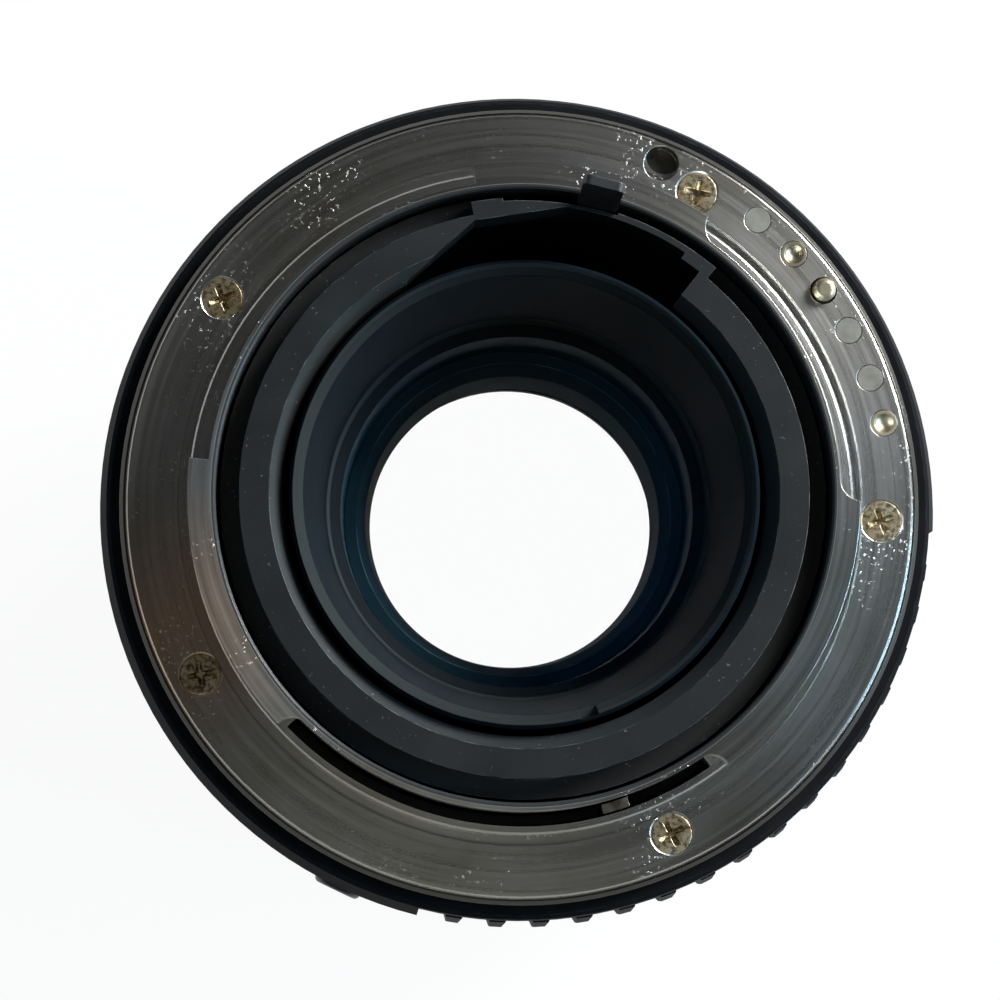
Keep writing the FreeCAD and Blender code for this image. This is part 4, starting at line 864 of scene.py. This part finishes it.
def depth_marks(looks):
    """Index line and the pairs of depth lines on the scale ring, each pair with its aperture number."""
    radius = radius_of("depth_scale_ring")
    low = bottom_of("depth_scale_ring") + depth_line_foot
    knee = low + depth_line_knee
    high = low + depth_line_reach

    def build(shape):
        paint_bar(shape, index_line_width, radius, index_angle, low, low + index_line_reach)
        for number, spreading in depth_pairs:
            for side in (-1, 1):
                angle = index_angle + side * (spreading + depth_pair_gap)
                lean = side * spreading * depth_line_lean
                paint_bar(shape, depth_line_width, radius, angle, low, knee)
                paint_bar(shape, depth_line_width, radius, angle, knee, high, lean)
                row = high + depth_figure_gap
                paint_figures(shape, str(number), depth_figure_size, radius, angle + lean, row)

    painted_piece("depth_marks", build, looks["white_paint"], "rear_barrel")


def painted_marks(looks):
    looks["white_paint"] = enamel("white_paint", (0.78, 0.78, 0.75))
    looks["orange_paint"] = enamel("orange_paint", (0.75, 0.28, 0.05))
    aperture_figures(looks)
    distance_figures("metre_figures", metre_marks, 1.0, metre_row, looks["white_paint"])
    distance_figures("feet_figures", feet_marks, metres_per_foot, feet_row, looks["orange_paint"])
    infinity_mark(looks)
    depth_marks(looks)


# Surroundings

def camera():
    """Camera that the circles in the photograph give.

    The rows of turn are the lens's axes as the camera sees them.
    """
    up = Vector(axis_in_camera).normalized()
    right = Vector((1, 0, 0))
    right = (right - up * right.dot(up)).normalized()
    ahead = up.cross(right)
    turn = Matrix((right, ahead, up))
    middle = image_size / 2
    across = (flange_pixel[0] - middle) / focal_pixels
    along = (middle - flange_pixel[1]) / focal_pixels
    flange = Vector((across, along, -1.0)) * mm(flange_distance)
    flange_top = Vector((0, 0, mm(top_of("mount_screws")) + mm(screw_sink)))
    data = bpy.data.cameras.new("camera")
    data.sensor_width = sensor_width
    data.lens = focal_pixels * sensor_width / image_size
    data.clip_start = 0.01
    data.clip_end = 20
    made = bpy.data.objects.new("camera", data)
    made.matrix_world = Matrix.Translation(flange_top - turn @ flange) @ turn.to_4x4()
    bpy.context.scene.collection.objects.link(made)
    bpy.context.scene.camera = made


def floor():
    def build(shape):
        bmesh.ops.create_grid(shape, x_segments=1, y_segments=1, size=floor_half_size)

    mesh = mesh_from("floor", build)
    piece = bpy.data.objects.new("floor", mesh)
    bpy.context.scene.collection.objects.link(piece)
    mesh.materials.append(white_floor())
    piece.location.z = cad_box[0].z - floor_gap


def lamp(name, azimuth, height, distance, size, watts, colour=(1, 1, 1)):
    """Soft square lamp that looks at the bayonet from azimuth and height in degrees."""
    data = bpy.data.lights.new(name, "AREA")
    data.shape = "SQUARE"
    data.size = size
    data.energy = watts
    data.color = colour
    made = bpy.data.objects.new(name, data)
    bpy.context.scene.collection.objects.link(made)
    target = Vector((0, 0, lamp_target_height))
    a, e = math.radians(azimuth), math.radians(height)
    way = Vector((math.cos(a) * math.cos(e), math.sin(a) * math.cos(e), math.sin(e)))
    made.location = target + way * distance
    made.rotation_mode = "QUATERNION"
    made.rotation_quaternion = way.to_track_quat("Z", "Y")
    return made


def studio():
    """World that is white to the camera and dim overhead, bright low down, to everything else."""
    world = bpy.data.worlds.new("studio")
    bpy.context.scene.world = world
    world.use_nodes = True
    tree = world.node_tree
    back = tree.nodes["Background"]
    direction = add(tree, "ShaderNodeTexCoord").outputs["Generated"]
    height = split(tree, direction)[2]
    glow = ramp(tree, height, [(0.0, 0.25), (0.25, 0.14), (0.5, 0.045), (1.0, 0.035)])
    path = add(tree, "ShaderNodeLightPath")
    tree.links.new(mixed(tree, path.outputs["Is Camera Ray"], glow, (1, 1, 1)), back.inputs["Color"])
    lamp("key_lamp", azimuth=35, height=28, distance=0.7, size=0.35, watts=11)
    blue = (0.5, 0.77, 1.0)
    lamp("window_lamp", azimuth=350, height=28, distance=0.7, size=0.3, watts=3.4, colour=blue)
    warm = (1.0, 0.98, 0.84)
    lamp("fill_lamp", azimuth=258, height=62, distance=0.8, size=0.4, watts=0.4, colour=warm)
    deep_blue = (0.1, 0.5, 1.0)
    sky = lamp("sky_lamp", azimuth=155, height=50, distance=0.8, size=0.4, watts=0.9, colour=deep_blue)
    sky.visible_glossy = False


def main():
    looks = finishes()
    dress_nodes(looks)
    mount_screw_heads(looks)
    pressed_coil(looks)
    blade_shoulders(looks)
    painted_marks(looks)
    camera()
    floor()
    studio()
    bpy.context.scene.view_settings.view_transform = "Standard"


main()
